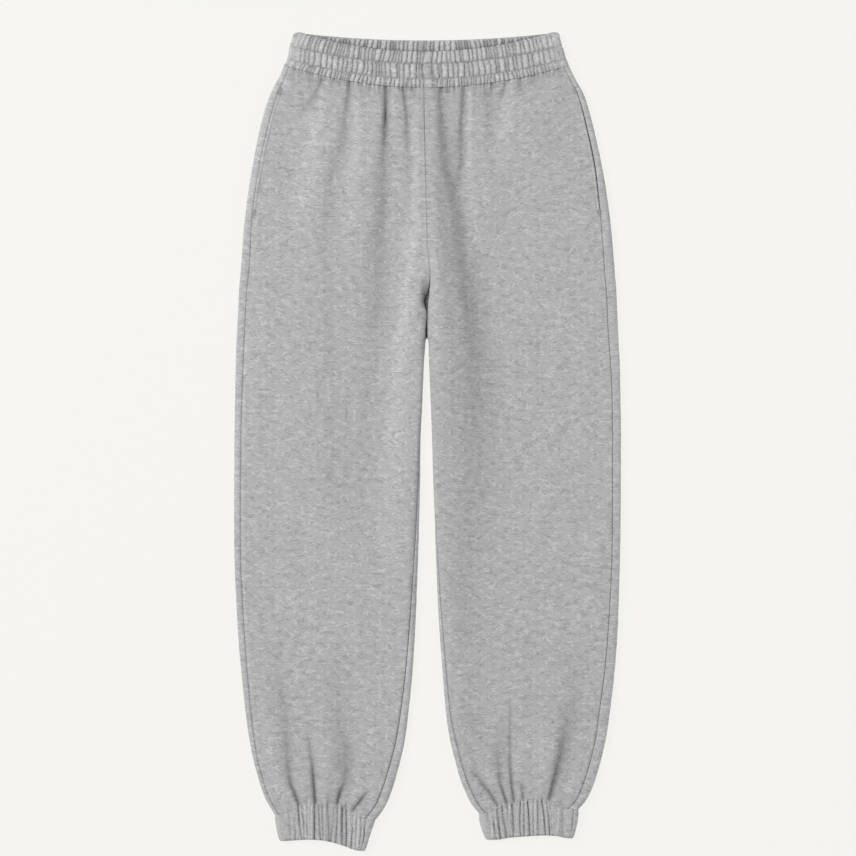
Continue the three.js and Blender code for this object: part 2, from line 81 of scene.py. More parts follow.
# One row for each section of the hips and legs, from the waist seam down. y is the height of its outer
# end. outer is each leg's distance from the middle, and inner the x of its inner edge; above the fork both
# legs share it, as the line of the centre seams. dropFront and dropBack are how much lower the section
# lies at its inner end. edge and middle are its thickness at the folds and between them. side is how far
# the side seam shows in from the outline. lip says where the inner seam lies on the inner fold, in
# degrees: -90 beneath it, 0 outermost, 90 on top, more across the top.
SECTIONS = table(
    "y outerRight outerLeft innerRight innerLeft dropFront dropBack edge middle"
    " sideRight sideLeft lipRight lipLeft",
    [
        (458, 176.5, 173.5, -4.4, -4.4, 26.2, 12.8, 12.4, 12.2, 7, 7, 90, 90),
        (441, 184.2, 182, -4.3, -4.3, 23.6, 11.5, 11.8, 10.8, 8, 7, 90, 90),
        (429, 190.7, 189, -4.2, -4.2, 21.4, 10.7, 11.5, 10.2, 8.6, 7.4, 90, 90),
        (417, 195.6, 194, -4, -4, 19.6, 9.8, 11.3, 9.7, 9.6, 7.7, 90, 90),
        (392, 203.2, 201.1, -3.6, -3.6, 16, 8, 11, 9.2, 9.8, 8, 90, 90),
        (343, 213.4, 212.3, -2.6, -2.6, 10, 5, 10.8, 9, 9, 8.4, 90, 90),
        (294, 221.4, 220.7, -1.3, -1.3, 5, 2.5, 10.6, 9, 9, 10.8, 90, 90),
        (247, 226.2, 226, -0.4, -0.4, 2, 1, 10.5, 9, 9.8, 12, 90, 90),
        (221, 228.1, 228.1, 1.4, 1.4, 1, 0.5, 10.5, 9, 10.8, 12.4, 90, 90),
        (202, 229.6, 229.8, 3, 3, 0, 0, 10.5, 9, 10.6, 12.7, 82, 82),
        (184, 231, 231.2, 2.1, 2.1, 0, 0, 10.4, 9, 10, 12.4, 40, 40),
        (160, 232.2, 232.4, 0.1, 0.1, 0, 0, 10.4, 9, 9.6, 12.6, 0, 0),
        (142, 233.1, 233.1, -0.4, -0.4, 0, 0, 10.4, 9, 9.7, 12.4, -14, -14),
        (FORK_Y, 234, 233.7, -0.5, -0.5, 0, 0, 10.4, 9, 9.8, 12, -24, -24),
        (124, 234.1, 233.8, -2.2, 0.6, 0, 0, 10.4, 9, 9.8, 12, -23, -24),
        (111, 234.6, 234.5, -3.4, 1.2, 0, 0, 10.4, 9, 9.8, 11.8, -18, -21),
        (99, 235, 235.2, -4.3, 1.5, 0, 0, 10.4, 9, 9.8, 11.5, -13, -18),
        (50, 236, 236.4, -6.2, 3.4, 0, 0, 10.4, 9, 9, 10.6, 4, -8),
        (1, 236.8, 236.9, -8.7, 5.1, 0, 0, 10.4, 9, 8.5, 10.5, 25, 4),
        (-48, 237, 236.8, -9.2, 6.8, 0, 0, 10.4, 9, 8.3, 10.5, 42, 16),
        (-97, 237.1, 236.4, -10.3, 8.6, 0, 0, 10.4, 9, 8.1, 10.1, 60, 32),
        (-146, 236.6, 235.6, -11.8, 10.3, 0, 0, 10.4, 9, 8, 10.1, 75, 48),
        (-194, 234.6, 234.3, -13.5, 12.2, 0, 0, 10.4, 9, 8.1, 11, 90, 60),
        (-243, 231.8, 232.1, -15.8, 15.1, 0, 0, 10.5, 9.1, 8.2, 11.8, 104, 72),
        (-292, 227.4, 228.1, -19.3, 18.8, 0, 0, 10.6, 9.3, 7.8, 12.6, 114, 75),
        (-341, 221.9, 222.1, -24.4, 23.2, 0, 0, 10.8, 9.6, 7, 13.2, 127, 84),
        (-366, 218, 218.2, -27.8, 27.3, 0, 0, 11, 9.8, 6.4, 13, 134, 98),
        (-390, 213.3, 212.5, -33, 33.2, 0, 0, 11.2, 10.2, 5.4, 13, 141, 101),
        (-414, 206.7, 205.6, -40.3, 40.8, 0, 0, 11.5, 10.7, 4.8, 13, 144, 102),
        (-427, 202.6, 200.6, -45.2, 46.8, 0, 0, 11.7, 11, 4.7, 12.6, 143, 101),
        (-439, 197.8, 194.6, -50.8, 53.4, 0, 0, 11.9, 11.4, 4.6, 12, 140, 100),
    ],
)


def leg(sign, side, seam, hem, swell):
    """A leg's side of the table and the lie of its cuff, with how far its outer and inner ends bulge."""
    return {"sign": sign, "side": side, "seam": seam, "hem": hem, "swell": swell}


def edge(y, outer, inner, *bow):
    """An edge of a cuff: the height of its outer end, the ends' distances from the middle of the garment,
    and how far above its outer end the edge lies at some shares of the way in."""
    return {"y": y, "outer": outer, "inner": inner, "bow": table("share rise", bow)}


# seam and hem are the upper and lower edges of a cuff.
LEGS = {
    "right": leg(
        -1,
        "Right",
        edge(
            -457.5, 187, 64.2,
            (0, 0), (0.1, 3), (0.2, 8.8), (0.3, 10.8), (0.4, 10.9), (0.58, 10.2),
            (0.71, 5.5), (0.79, 1), (0.91, -4.2), (1, -7.6),
        ),
        edge(
            -489.6, 181.6, 76,
            (0, 0), (0.1, 0.7), (0.206, 1.3), (0.33, 2), (0.476, 1.2), (0.58, -0.6),
            (0.665, -2.8), (0.779, -6.6), (0.854, -9.8), (0.93, -11.6), (1, -12),
        ),
        (1.2, -0.4),
    ),
    "left": leg(
        1,
        "Left",
        edge(
            -451, 184.6, 63,
            (0, 0), (0.13, 2.2), (0.24, 5), (0.33, 9.2), (0.42, 10.4), (0.52, 9.6),
            (0.65, 6), (0.81, 2), (0.91, -2.4), (1, -5.6),
        ),
        edge(
            -486.4, 178.6, 71,
            (0, 0), (0.095, 1.1), (0.2, 3.3), (0.31, 3.9), (0.53, 2.8), (0.746, 1),
            (0.86, -1.1), (1, -1.6),
        ),
        (1.6, 2.2),
    ),
}


def fold(sharp, *rows):
    """A crease or swell that runs down the cloth, as one row for each point of its middle: y, x, its half
    width, or both half widths, towards the right and the left leg's side, and its height there, where a
    minus sign is a trough. sharp is how pointed its section is: 1 is a crease, 2 a soft swell."""
    both = [row if len(row) == 5 else (*row[:3], *row[2:]) for row in rows]
    return sharp, table("y x right left rise", both)


# The front, from the waist seam down to the cuffs.
WAIST_FOLDS = [
    # right side: the troughs, then the swells between them
    fold(
        1.6, (441, -128, 2.6, 3, -2.3), (420, -139, 3.2, 4, -2), (405, -150, 5, 6, -1),
        (384, -163, 8, 9, 0),
    ),
    fold(
        1.5, (440, -95, 2.4, 2.6, -2.2), (402, -99.3, 4, -1.8), (369, -104.6, 7, 8, -1.3),
        (319, -117, 9, 10, -0.9), (230, -125, 12, -0.5), (75, -119, 16, -0.4), (-48, -114, 16, -0.5),
        (-110, -112, 14, 0),
    ),
    fold(
        1.3, (436, -51, 1.8, 2, -1.4), (412, -51.3, 2, 2.2, -2.6), (392, -51.6, 2.4, 2.6, -3.1),
        (370, -52.4, 3, 3.6, -1.6), (340, -54, 4, 0),
    ),
    fold(
        1.8, (436, -51, 5, -1.3), (395, -51.6, 6, -1.7), (356, -51.5, 8, -2.4), (319, -53, 11, 9, -2.8),
        (270, -55.5, 12.5, 9.5, -2.7), (221, -57.5, 16, 11, -2.2), (172, -60, 16, 13, -1.9),
        (123, -66, 18, 15, -1.2), (75, -69, 19, 15, -0.9), (13, -75, 22, 18, -0.7),
        (-48, -79, 22, 20, -0.5), (-150, -82, 20, 0),
    ),
    fold(
        1.4, (436, -31.5, 2.2, 2.6, -1.8), (418, -28, 2.4, 2.6, -2.4), (398, -25.6, 2.8, -2.2),
        (369, -24.6, 4, -1.6), (340, -24, 5, -0.9), (290, -23, 6, 0),
    ),
    fold(1.5, (442, -115, 2, -1.4), (424, -118, 2.6, 0)),
    fold(1.4, (438, -82.4, 2.2, -1.8), (412, -78, 3, 0)),
    fold(1.4, (438, -71, 1.8, -1.6), (420, -70.4, 2.4, 0)),
    fold(1.4, (437, -59.4, 1.8, -1.6), (416, -57, 2.6, 0)),
    fold(1.4, (436, -44, 1.8, -1.5), (418, -42.6, 2.6, 0)),
    fold(1.5, (436, -17, 2, -1.6), (406, -14, 2.8, 0)),
    fold(
        2, (436, -124, 7, 0.6), (406, -128.5, 9, 8, 1.4), (380, -135, 10, 1.4), (331, -143, 12, 13, 1.5),
        (300, -147, 13, 1.2), (240, -155, 16, 0),
    ),
    fold(2, (436, -84, 6, 0.8), (369, -84.8, 9, 1.4), (300, -92, 12, 0.9), (220, -96, 12, 0)),
    fold(2, (436, -41, 4, 0.5), (400, -40, 6, 5, 0.9), (330, -38, 7, 6, 0)),
    fold(
        2, (430, -12.5, 3.6, 0.6), (350, -12, 8, 5, 1.3), (319, -12, 8, 5, 1.5), (270, -13, 9, 8, 1.8),
        (221, -19, 10, 2), (172, -24.5, 11, 2), (123, -30, 12, 1.9), (75, -34, 13, 14, 1.6),
        (13, -39, 14, 15, 1.3), (-48, -42, 16, 1.1), (-121, -42, 16, 0.7), (-195, -43, 16, 0),
    ),
    # left side
    fold(2, (384, 36, 6, 0), (362, 36, 9, 7, -0.7), (330, 40, 9, -0.4), (290, 46, 10, 0)),
    fold(
        1.7, (434, 16, 4, -2.9), (410, 17, 5, 5.4, -3.8), (369, 19.6, 6.6, -4.2), (334, 23, 8.4, -4.1),
        (298, 32, 10, 11.4, -3.9), (251, 39.4, 9.4, 10, -4.1), (193, 46.4, 10, 12, -3.9),
        (110, 56, 13, 15, -3), (56, 59.6, 14, 17, -2.4), (-20, 60, 15, 19, -1.5), (-97, 53, 17, 20, -1),
        (-190, 46, 14, 20, -0.5), (-260, 46, 14, 20, 0),
    ),
    fold(
        2, (330, 14, 6, 0), (270, 19, 10, 9, -1.9), (221, 27.5, 13, 9, -1.9), (172, 28, 12, 14, -1.3),
        (123, 26, 10, 16, -1.2), (75, 34, 14, 18, -1.1), (13, 38, 14, 24, -0.9), (-48, 44, 22, 28, -0.5),
        (-121, 50, 24, 26, -0.5), (-195, 46, 15, 24, -0.8), (-268, 48, 14, 22, -0.8),
        (-317, 55, 14, 20, -0.5), (-370, 62, 12, 0),
    ),
    fold(
        2, (240, 60, 8, 12, 0), (190, 63, 10, 14, -1.1), (123, 72, 14, 18, -1), (20, 84, 16, 20, -0.6),
        (-60, 78, 20, 22, -0.5), (-160, 74, 20, 22, 0),
    ),
    fold(
        1.3, (438, 44.6, 2.4, 2, -1.8), (410, 43, 3, -2.5), (387, 41.6, 3.8, 3.6, -2.5),
        (356, 41.6, 5, 4.6, -2), (330, 39.4, 5, -1.4), (300, 34, 5, 0),
    ),
    fold(1.5, (441, 70, 2, 2.2, -1.1), (391, 75.6, 7, 8, -1), (340, 80, 8, 0)),
    fold(1.4, (436, 25.2, 2, -1.4), (412, 24.6, 2.6, 0)),
    fold(1.4, (436, 32.6, 1.8, -1.3), (414, 33.8, 2.4, 0)),
    fold(1.4, (441, 79, 2, -2.2), (414, 79.4, 2.8, 0)),
    fold(1.5, (442, 98, 2, -1.4), (426, 92, 3, -1.4), (404, 88, 4, 0)),
    fold(1.4, (447, 112, 2.2, -1.6), (427, 116.4, 3, 0)),
    fold(1.4, (450, 129, 2.2, -1.5), (427, 130.6, 3, 0)),
    fold(1.4, (457, 157, 2.4, -1.6), (438, 171, 3, 0)),
    fold(2, (436, 54, 3.4, 0.8), (400, 52.4, 5, 1.5), (315, 54, 7, 1), (250, 62, 9, 0)),
    fold(2, (440, 104, 8, 0.4), (406, 100.6, 9, 1.3), (369, 91, 10, 11, 1), (300, 88, 12, 0)),
    fold(2, (410, 148, 12, 0), (375, 152, 14, -0.8), (330, 158, 14, 0)),
    fold(2, (350, 84, 12, 10, 0), (306, 94, 14, 12, -0.7), (250, 100, 14, 0)),
    fold(2, (330, 5, 5, 7, 0), (240, 9, 6, 8, 0.9), (150, 13, 7, 10, 0.9), (40, 22, 9, 12, 0)),
]
CUFF_FOLDS = [
    # above the right cuff: the troughs, then the swells between them
    fold(
        1.35, (-448, -156.5, 2, 2.2, -3.4), (-432, -162, 2.4, 2.6, -3.4), (-419, -167.4, 3, 3.4, -2.9),
        (-387, -171, 6, -1.6), (-333, -175, 9, 10, -1), (-230, -188, 14, 0),
    ),
    fold(
        1.25, (-446, -137, 2.2, 2, -3.8), (-412, -139.6, 2.6, 2.4, -3.6), (-387, -142, 2.8, -1.8),
        (-340, -150, 6, 0),
    ),
    fold(
        1.3, (-449, -112, 2, -3.6), (-432, -107.6, 2.2, 2.6, -3.6), (-424, -104.5, 3, 4, -2.8),
        (-417, -101, 5, 6, -1.8), (-387, -99.4, 10, -1.5), (-333, -109, 12, -0.8), (-240, -112, 14, 0),
    ),
    fold(1.3, (-457, -95, 1.9, -3.2), (-441, -83, 2.1, -3.1), (-430, -74, 2.6, -1.5), (-422, -67, 3.2, 0)),
    fold(1.4, (-449, -147.8, 1.8, -1.8), (-432, -147, 2.4, 0)),
    fold(1.4, (-448, -129.6, 1.8, -1.5), (-434, -128.6, 2.4, 0)),
    fold(1.4, (-449, -121.6, 1.8, -1.9), (-428, -121.2, 2.6, 0)),
    fold(1.4, (-453, -102.4, 1.8, -1.6), (-436, -95, 2.6, 0)),
    fold(2, (-446, -125, 5, 0.4), (-405, -124, 8, 0.5), (-350, -128, 9, 0)),
    fold(2, (-446, -150, 4, 0.4), (-410, -155, 6, 0.2), (-350, -160, 9, 0)),
    fold(2, (-450, -97, 5, 0.3), (-415, -80, 8, 0.6), (-350, -76, 12, 0)),
    fold(2, (-452, -118, 14, -0.8), (-405, -106, 16, -0.7), (-360, -100, 14, 0)),
    fold(2, (450, -178, 10, 8, 0.8), (405, -192, 8, 9, 0.5), (350, -204, 8, 0)),
    fold(
        2, (330, -210, 10, 16, 0), (240, -212, 12, 22, 0.4), (60, -218, 12, 24, 0.4),
        (-60, -220, 12, 20, 0),
    ),
    fold(
        2, (440, 160, 14, 0), (405, 172, 14, -0.5), (340, 190, 14, -0.5), (270, 204, 14, 12, -0.5),
        (220, 210, 14, 12, 0),
    ),
    fold(2, (-440, -178, 5, 0.4), (-390, -190, 8, 1), (-320, -202, 10, 0)),
    # above the left cuff
    fold(
        1.25, (-442, 105.8, 1.8, 2.2, -3.2), (-416, 102.6, 2, 2.4, -3), (-387, 101.3, 3, 2, -2),
        (-326, 101.3, 3, 2, -1), (-300, 101.6, 3, 2, 0),
    ),
    fold(
        1.3, (-446, 98, 1.8, -3.4), (-427, 91.6, 2.2, 2, -3.3), (-414, 88.2, 3.4, 3, -2.2),
        (-380, 86.6, 7, 6, -1.2), (-340, 86, 8, 0),
    ),
    fold(1.4, (-410.5, 101, 2, 0), (-411.5, 95, 2, -0.9), (-415, 88, 2, 0)),
    fold(1.35, (-449, 87, 2, -3), (-430, 75.6, 2.4, -2.8), (-407, 57.8, 3.6, -1), (-396, 50, 4, 0)),
    fold(1.3, (-445, 118.4, 1.9, -3), (-430, 116.2, 2.1, -2.4), (-414, 115, 3, 0)),
    fold(
        1.35, (-443, 147.6, 2.2, 2.6, -3.5), (-427, 151.4, 2.6, 3.8, -3.6), (-405, 157.2, 4, 6.4, -3.3),
        (-376, 164, 6, 9, -2.8), (-351, 169, 7, 9, -1.6), (-315, 176.4, 9, 11, -0.9), (-240, 190, 14, 0),
    ),
    fold(1.4, (-449, 180, 2.6, -2.6), (-430, 185, 2.8, -1.4), (-418, 189, 3, 0)),
    fold(1.4, (-446, 131.2, 1.8, -1.7), (-430, 130.4, 2.4, 0)),
    fold(1.4, (-446, 140.8, 1.8, -1.8), (-429, 139.4, 2.4, 0)),
    fold(1.4, (-446, 162.8, 1.8, -1.2), (-432, 164, 2.4, 0)),
    fold(2, (-440, 136, 5, 0.5), (-400, 140, 8, 0.7), (-350, 146, 10, 0)),
    fold(2, (-440, 111, 3, 0.4), (-400, 110, 5, 6, 0.7), (-350, 114, 8, 9, 0)),
    fold(2, (-442, 172, 5, 0.5), (-400, 181, 7, 0.4), (-350, 192, 9, 0)),
    fold(2, (-440, 70, 8, -0.5), (-400, 56, 10, -0.9), (-355, 52, 12, 14, -1), (-320, 56, 14, 16, 0)),
]
FRONT_FOLDS = WAIST_FOLDS + CUFF_FOLDS
# The broad ones, which the inside of the front follows as well.
BROAD = [(sharp, line) for sharp, line in FRONT_FOLDS if line["right"].max() > 8]

# Like creases of the back, which rests on the table: they are troughs that rise off it.
BACK_FOLDS = [
    fold(1.5, (450, -140, 3, -2), (425, -146, 4, -1.6), (396, -152, 6, 0)),
    fold(1.4, (450, -104, 2.6, -2.4), (420, -106, 3.6, -1.8), (360, -112, 6, 0)),
    fold(1.4, (450, -70, 2.6, -2.4), (420, -68, 4, -2), (340, -64, 7, 0)),
    fold(1.4, (450, -38, 2.4, -2), (425, -36, 3.4, -1.4), (396, -33, 4, 0)),
    fold(1.4, (450, 30, 2.6, -2.4), (420, 32, 4, -2), (330, 40, 7, 0)),
    fold(1.4, (450, 62, 2.4, -2), (428, 60, 3.4, -1.4), (400, 57, 4, 0)),
    fold(1.4, (450, 96, 2.6, -2.4), (420, 99, 4, -1.8), (372, 107, 6, 0)),
    fold(1.5, (450, 134, 3, -2), (428, 138, 4, -1.5), (402, 144, 6, 0)),
    fold(1.4, (-452, -150, 2.6, -2.4), (-424, -158, 3.6, -2), (-380, -168, 6, 0)),
    fold(1.4, (-450, -128, 2.6, -2.4), (-416, -128, 3.6, -2), (-366, -130, 6, 0)),
    fold(1.4, (-455, -106, 2.6, -2.4), (-428, -99, 3.6, -2), (-396, -90, 6, 0)),
    fold(1.4, (-448, 158, 2.6, -2.4), (-420, 165, 3.6, -2), (-384, 172, 6, 0)),
    fold(1.4, (-446, 130, 2.6, -2.4), (-412, 131, 3.6, -2), (-362, 134, 6, 0)),
    fold(1.4, (-448, 99, 2.6, -2.4), (-422, 93, 3.6, -2), (-392, 86, 6, 0)),
]

# One row for each line round the waistband, from its seam up: the height and reach of its two corners,
# how much lower it lies at the middle of the front and back, and puff, how far the cloth stands out there.
# The stitch lines are the second and third rows where puff is low.
BAND_CENTRE = -4.0  # where the lines dip lowest
BAND_LINES = table(
    "y right left dropFront dropBack puff",
    [
        (458.3, 176.3, 173.3, 26.2, 12.8, 0.1),
        (459.6, 176, 172.9, 25.8, 12.6, 0.2),
        (462, 174.6, 172.2, 25.2, 12.2, 0.9),
        (464.8, 173.2, 171, 24.4, 11.7, 0.5),
        (466.2, 172.4, 170.3, 23.9, 11.5, -0.9),
        (467.6, 172, 169.6, 23.6, 11.3, 0.4),
        (471, 171.2, 168.6, 23, 11, 1.3),
        (476, 170.3, 167.4, 22.2, 10.7, 1.4),
        (480.6, 169.6, 165.8, 21.5, 10.4, 0.6),
        (482.2, 169.2, 165, 21.3, 9.9, -1),
        (483.8, 168.9, 164.5, 21.4, 9.8, 0.3),
        (487.4, 167.8, 163.8, 21.9, 9.6, 1.1),
        (492, 166, 162.4, 22.6, 9.5, 1.2),
        (497.2, 164.8, 161.4, 23.4, 9.4, 0.6),
        (498.8, 163.6, 160.2, 23.7, 9.4, 0),
        (499.9, 161.2, 158, 24, 9.4, -1.6),
    ],
)
BAND_SEAM = 458.3
BAND_STITCHES = (466.2, 482.2)  # its two stitch lines
BAND_TOP = 499.9
BAND_WALL = 5.8  # fleece folded round an elastic
BAND_TURN = 6.0  # cloth that goes round the top edge
BAND_FULLNESS = 1.5  # how much cloth is gathered into each millimetre of the band
BAND_FLAT = (-3.5, 7.5)  # a strip at the centre front that isn't gathered
BACK_FLAT = (-11.0, -2.5)  # the same beside the centre back join
CUFF_WALL = 5.4  # the same as BAND_WALL in a cuff
CUFF_DEPTH = 38.0
CUFF_TURN = 4.0  # cloth that goes round its hem
FOLDS_BEHIND = 4.7  # how much further to the left the folds behind a cuff lie

# Grooves across the front of each cuff, as x at the seam and at the hem, with their depth.
GROOVES = {
    "right": table(
        "seam hem depth",
        [
            (-170, -167.5, 0.9), (-165.2, -160.5, 1.1), (-158.2, -153.4, 2.3), (-154.4, -149.4, 1.2),
            (-147.6, -146.6, 1), (-138, -138.2, 2.3), (-133, -130.6, 1.4), (-129, -127.6, 1.1),
            (-121.8, -120.2, 2), (-114.6, -118.4, 1.5), (-110, -112, 1), (-104, -103.8, 2.4),
            (-99.5, -99.6, 1.6), (-90.6, -93.4, 1.5), (-86.4, -88.4, 1), (-80.8, -84.4, 1.4),
            (-75.6, -80.6, 1.8),
        ],
    ),
    "left": table(
        "seam hem depth",
        [
            (73.4, 78.6, 0.8), (78.4, 84.2, 1.2), (84.8, 89.4, 2), (91, 96.8, 1.8), (97.2, 100.6, 1.2),
            (103.4, 105.2, 2.2), (108.6, 108.4, 1), (113.4, 113.8, 1.4), (117.6, 118.4, 1.2),
            (122.2, 124.6, 2.2), (129.8, 129.6, 1.3), (134.6, 135.4, 1.2), (139.8, 144.2, 1.7),
            (145.6, 149.4, 1.5), (151, 152.8, 1.2), (165.4, 165.2, 0.7), (178.6, 175.4, 1.4),
        ],
    ),
}
CHANNEL_PITCHES = (4.2, 5.7, 5.0)  # mean width of a gather in each channel of the band, from the seam up
BAND_MIDDLE = -1.5  # of the band's seam
BAND_HALF = 168.8  # half the width of the band's front at its seam, between the end folds
BAND_SPAN = 165.0  # half of u, a place along the band, which is the same from its seam to its top
BAND_COLUMNS = (640, 16)  # columns of the band's grid in each layer and round each end
CUFF_COLUMNS = (280, 16)
BAND_SEED = 31  # of the gathers outside the band, whose lowest channel runs on into the fronts
INNER_BAND_SEED = 71

# How light and how dark the painted shade of a piece may be made beside its folds, as its lowest and highest
# tone.
FRONT_PAINTED_SHADE = (-3, 11.5)
BAND_PAINTED_SHADE = (-2.5, 9)
CUFF_PAINTED_SHADE = (-2.5, 7)
POINTED = 1.6  # a fold is pointed if its sharp is less than this
CALM_EDGE = 9.0  # beside its seams a front has no folds

# The pocket is a slit in the side seam, held by a bar tack at each end.
POCKET_TOP = 429.0
POCKET_BOTTOM = 279.0
POCKET_GAPE = {"right": 0.0, "left": 1.0}
TOPSTITCH_COLUMN = 6  # columns of a front's outside, counted in from its side seam
TACK_COLUMN = 3
BAG = {"top": 412, "bottom": 196, "behind": 3, "depth": 112, "corner": 40, "wall": 0.9}
BAG_LOW = 3.15  # height of the underside of a pocket bag off the table, and of its top
BAG_HIGH = 5.55


def mix(a, b, t):
    """Straight from a to b as t goes from 0 to 1."""
    return a + (b - a) * t


def smooth(t):
    """An S curve from 0 to 1."""
    t = np.clip(t, 0, 1)
    return t * t * (3 - 2 * t)


def bell(t):
    """A bell curve: 1 at 0, falling off as exp(-t ** 2)."""
    return np.exp(-(t**2))


def curve(heights, values):
    """A cubic through a column whose heights fall or rise from row to row, that never overshoots a row:
    each row's slope is the harmonic mean of the slopes beside it, or flat where they change sign."""
    order = np.argsort(heights)
    x, v = np.asarray(heights, float)[order], np.asarray(values, float)[order]
    slope = np.diff(v) / np.diff(x)
    before, after = slope[:-1], slope[1:]
    same = before * after > 0
    total = np.where(same, before + after, 1)
    inner = np.where(same, 2 * before * after / total, 0)
    bend = np.concatenate([slope[:1], inner, slope[-1:]])

    def at(y):
        y = np.asarray(y, float)
        i = np.clip(np.searchsorted(x, y) - 1, 0, len(x) - 2)
        span = x[i + 1] - x[i]
        t = (y - x[i]) / span
        start = v[i] * (1 + 2 * t) * (1 - t) ** 2 + bend[i] * span * t * (1 - t) ** 2
        return start + v[i + 1] * t * t * (3 - 2 * t) - bend[i + 1] * span * t * t * (1 - t)

    return at


def waves(x, y, scale, seed):
    """Gentle unevenness between -1 and 1: a sum of seven sine waves in random directions."""
    source = np.random.default_rng(seed)
    total = np.zeros(np.broadcast(x, y).shape)
    for _ in range(7):
        angle = source.uniform(0, math.pi)
        length = scale * source.uniform(0.6, 1.7)
        phase = source.uniform(0, 2 * math.pi)
        total = total + np.sin((x * math.cos(angle) + y * math.sin(angle)) * 2 * math.pi / length + phase)
    return total / 4


def relief(folds, x, y):
    """Height that folds add at x, y. A fold's place, widths and rise are smooth curves down its length,
    and across it the height falls off as exp(-|distance / width| ** sharp)."""
    total = np.zeros(x.shape)
    for sharp, line in folds:
        at = {key: curve(line["y"], line[key]) for key in ("x", "right", "left", "rise")}
        inside = np.clip(y, line["y"].min(), line["y"].max())
        lean = (at["x"](inside + 2) - at["x"](inside - 2)) / 4
        off = (x - at["x"](inside)) / np.sqrt(1 + np.clip(lean, -2, 2) ** 2)
        wide = np.where(off < 0, at["right"](inside), at["left"](inside))
        past = (y - inside) / 3
        total += at["rise"](inside) * np.exp(-np.abs(off / wide) ** sharp - past**2)
    return total


def sag(drop_back, drop_front, inward, width, is_front):
    """How much lower than its outer end a line round the hips lies at a distance in from the side. The
    front dips more than the back, but in the side folds they are one."""

    def dip(a, over):
        return 1 - (1 - np.clip(a / over, 0, 1)) ** 2

    more = (drop_front - drop_back) * dip(inward - FOLD_REACH, width - FOLD_REACH)
    return drop_back * dip(inward, width) + np.where(is_front, more, 0)


def bow(line, s):
    """How far above its outer end an edge of a cuff lies, a share s of the way in."""
    return curve(line["bow"]["share"], line["bow"]["rise"])(s)


def quarter_arc(a, b):
    """Length of a quarter of an ellipse, near enough for spacing points round a fold."""
    return QUARTER * np.sqrt((a * a + b * b) / 2)


def leg_curves(side):
    """The columns of one leg as smooth functions of height, with a last row at its cuff's seam."""
    shape = LEGS[side]
    name, seam = shape["side"], shape["seam"]
    columns = {
        "outer": (SECTIONS["outer" + name], seam["outer"]),
        "inner": (SECTIONS["inner" + name], shape["sign"] * seam["inner"]),
        "dropFront": (SECTIONS["dropFront"], 0),
        "dropBack": (SECTIONS["dropBack"], 0),
        "edge": (SECTIONS["edge"], CUFF_THICK),
        "middle": (SECTIONS["middle"], CUFF_THICK),
        "side": (SECTIONS["side" + name], SECTIONS["side" + name][-1]),
        "lip": (SECTIONS["lip" + name], SECTIONS["lip" + name][-1]),
    }
    heights = np.append(SECTIONS["y"], seam["y"] + SEAM_GAP / 2)
    return {key: curve(heights, np.append(column, end)) for key, (column, end) in columns.items()}


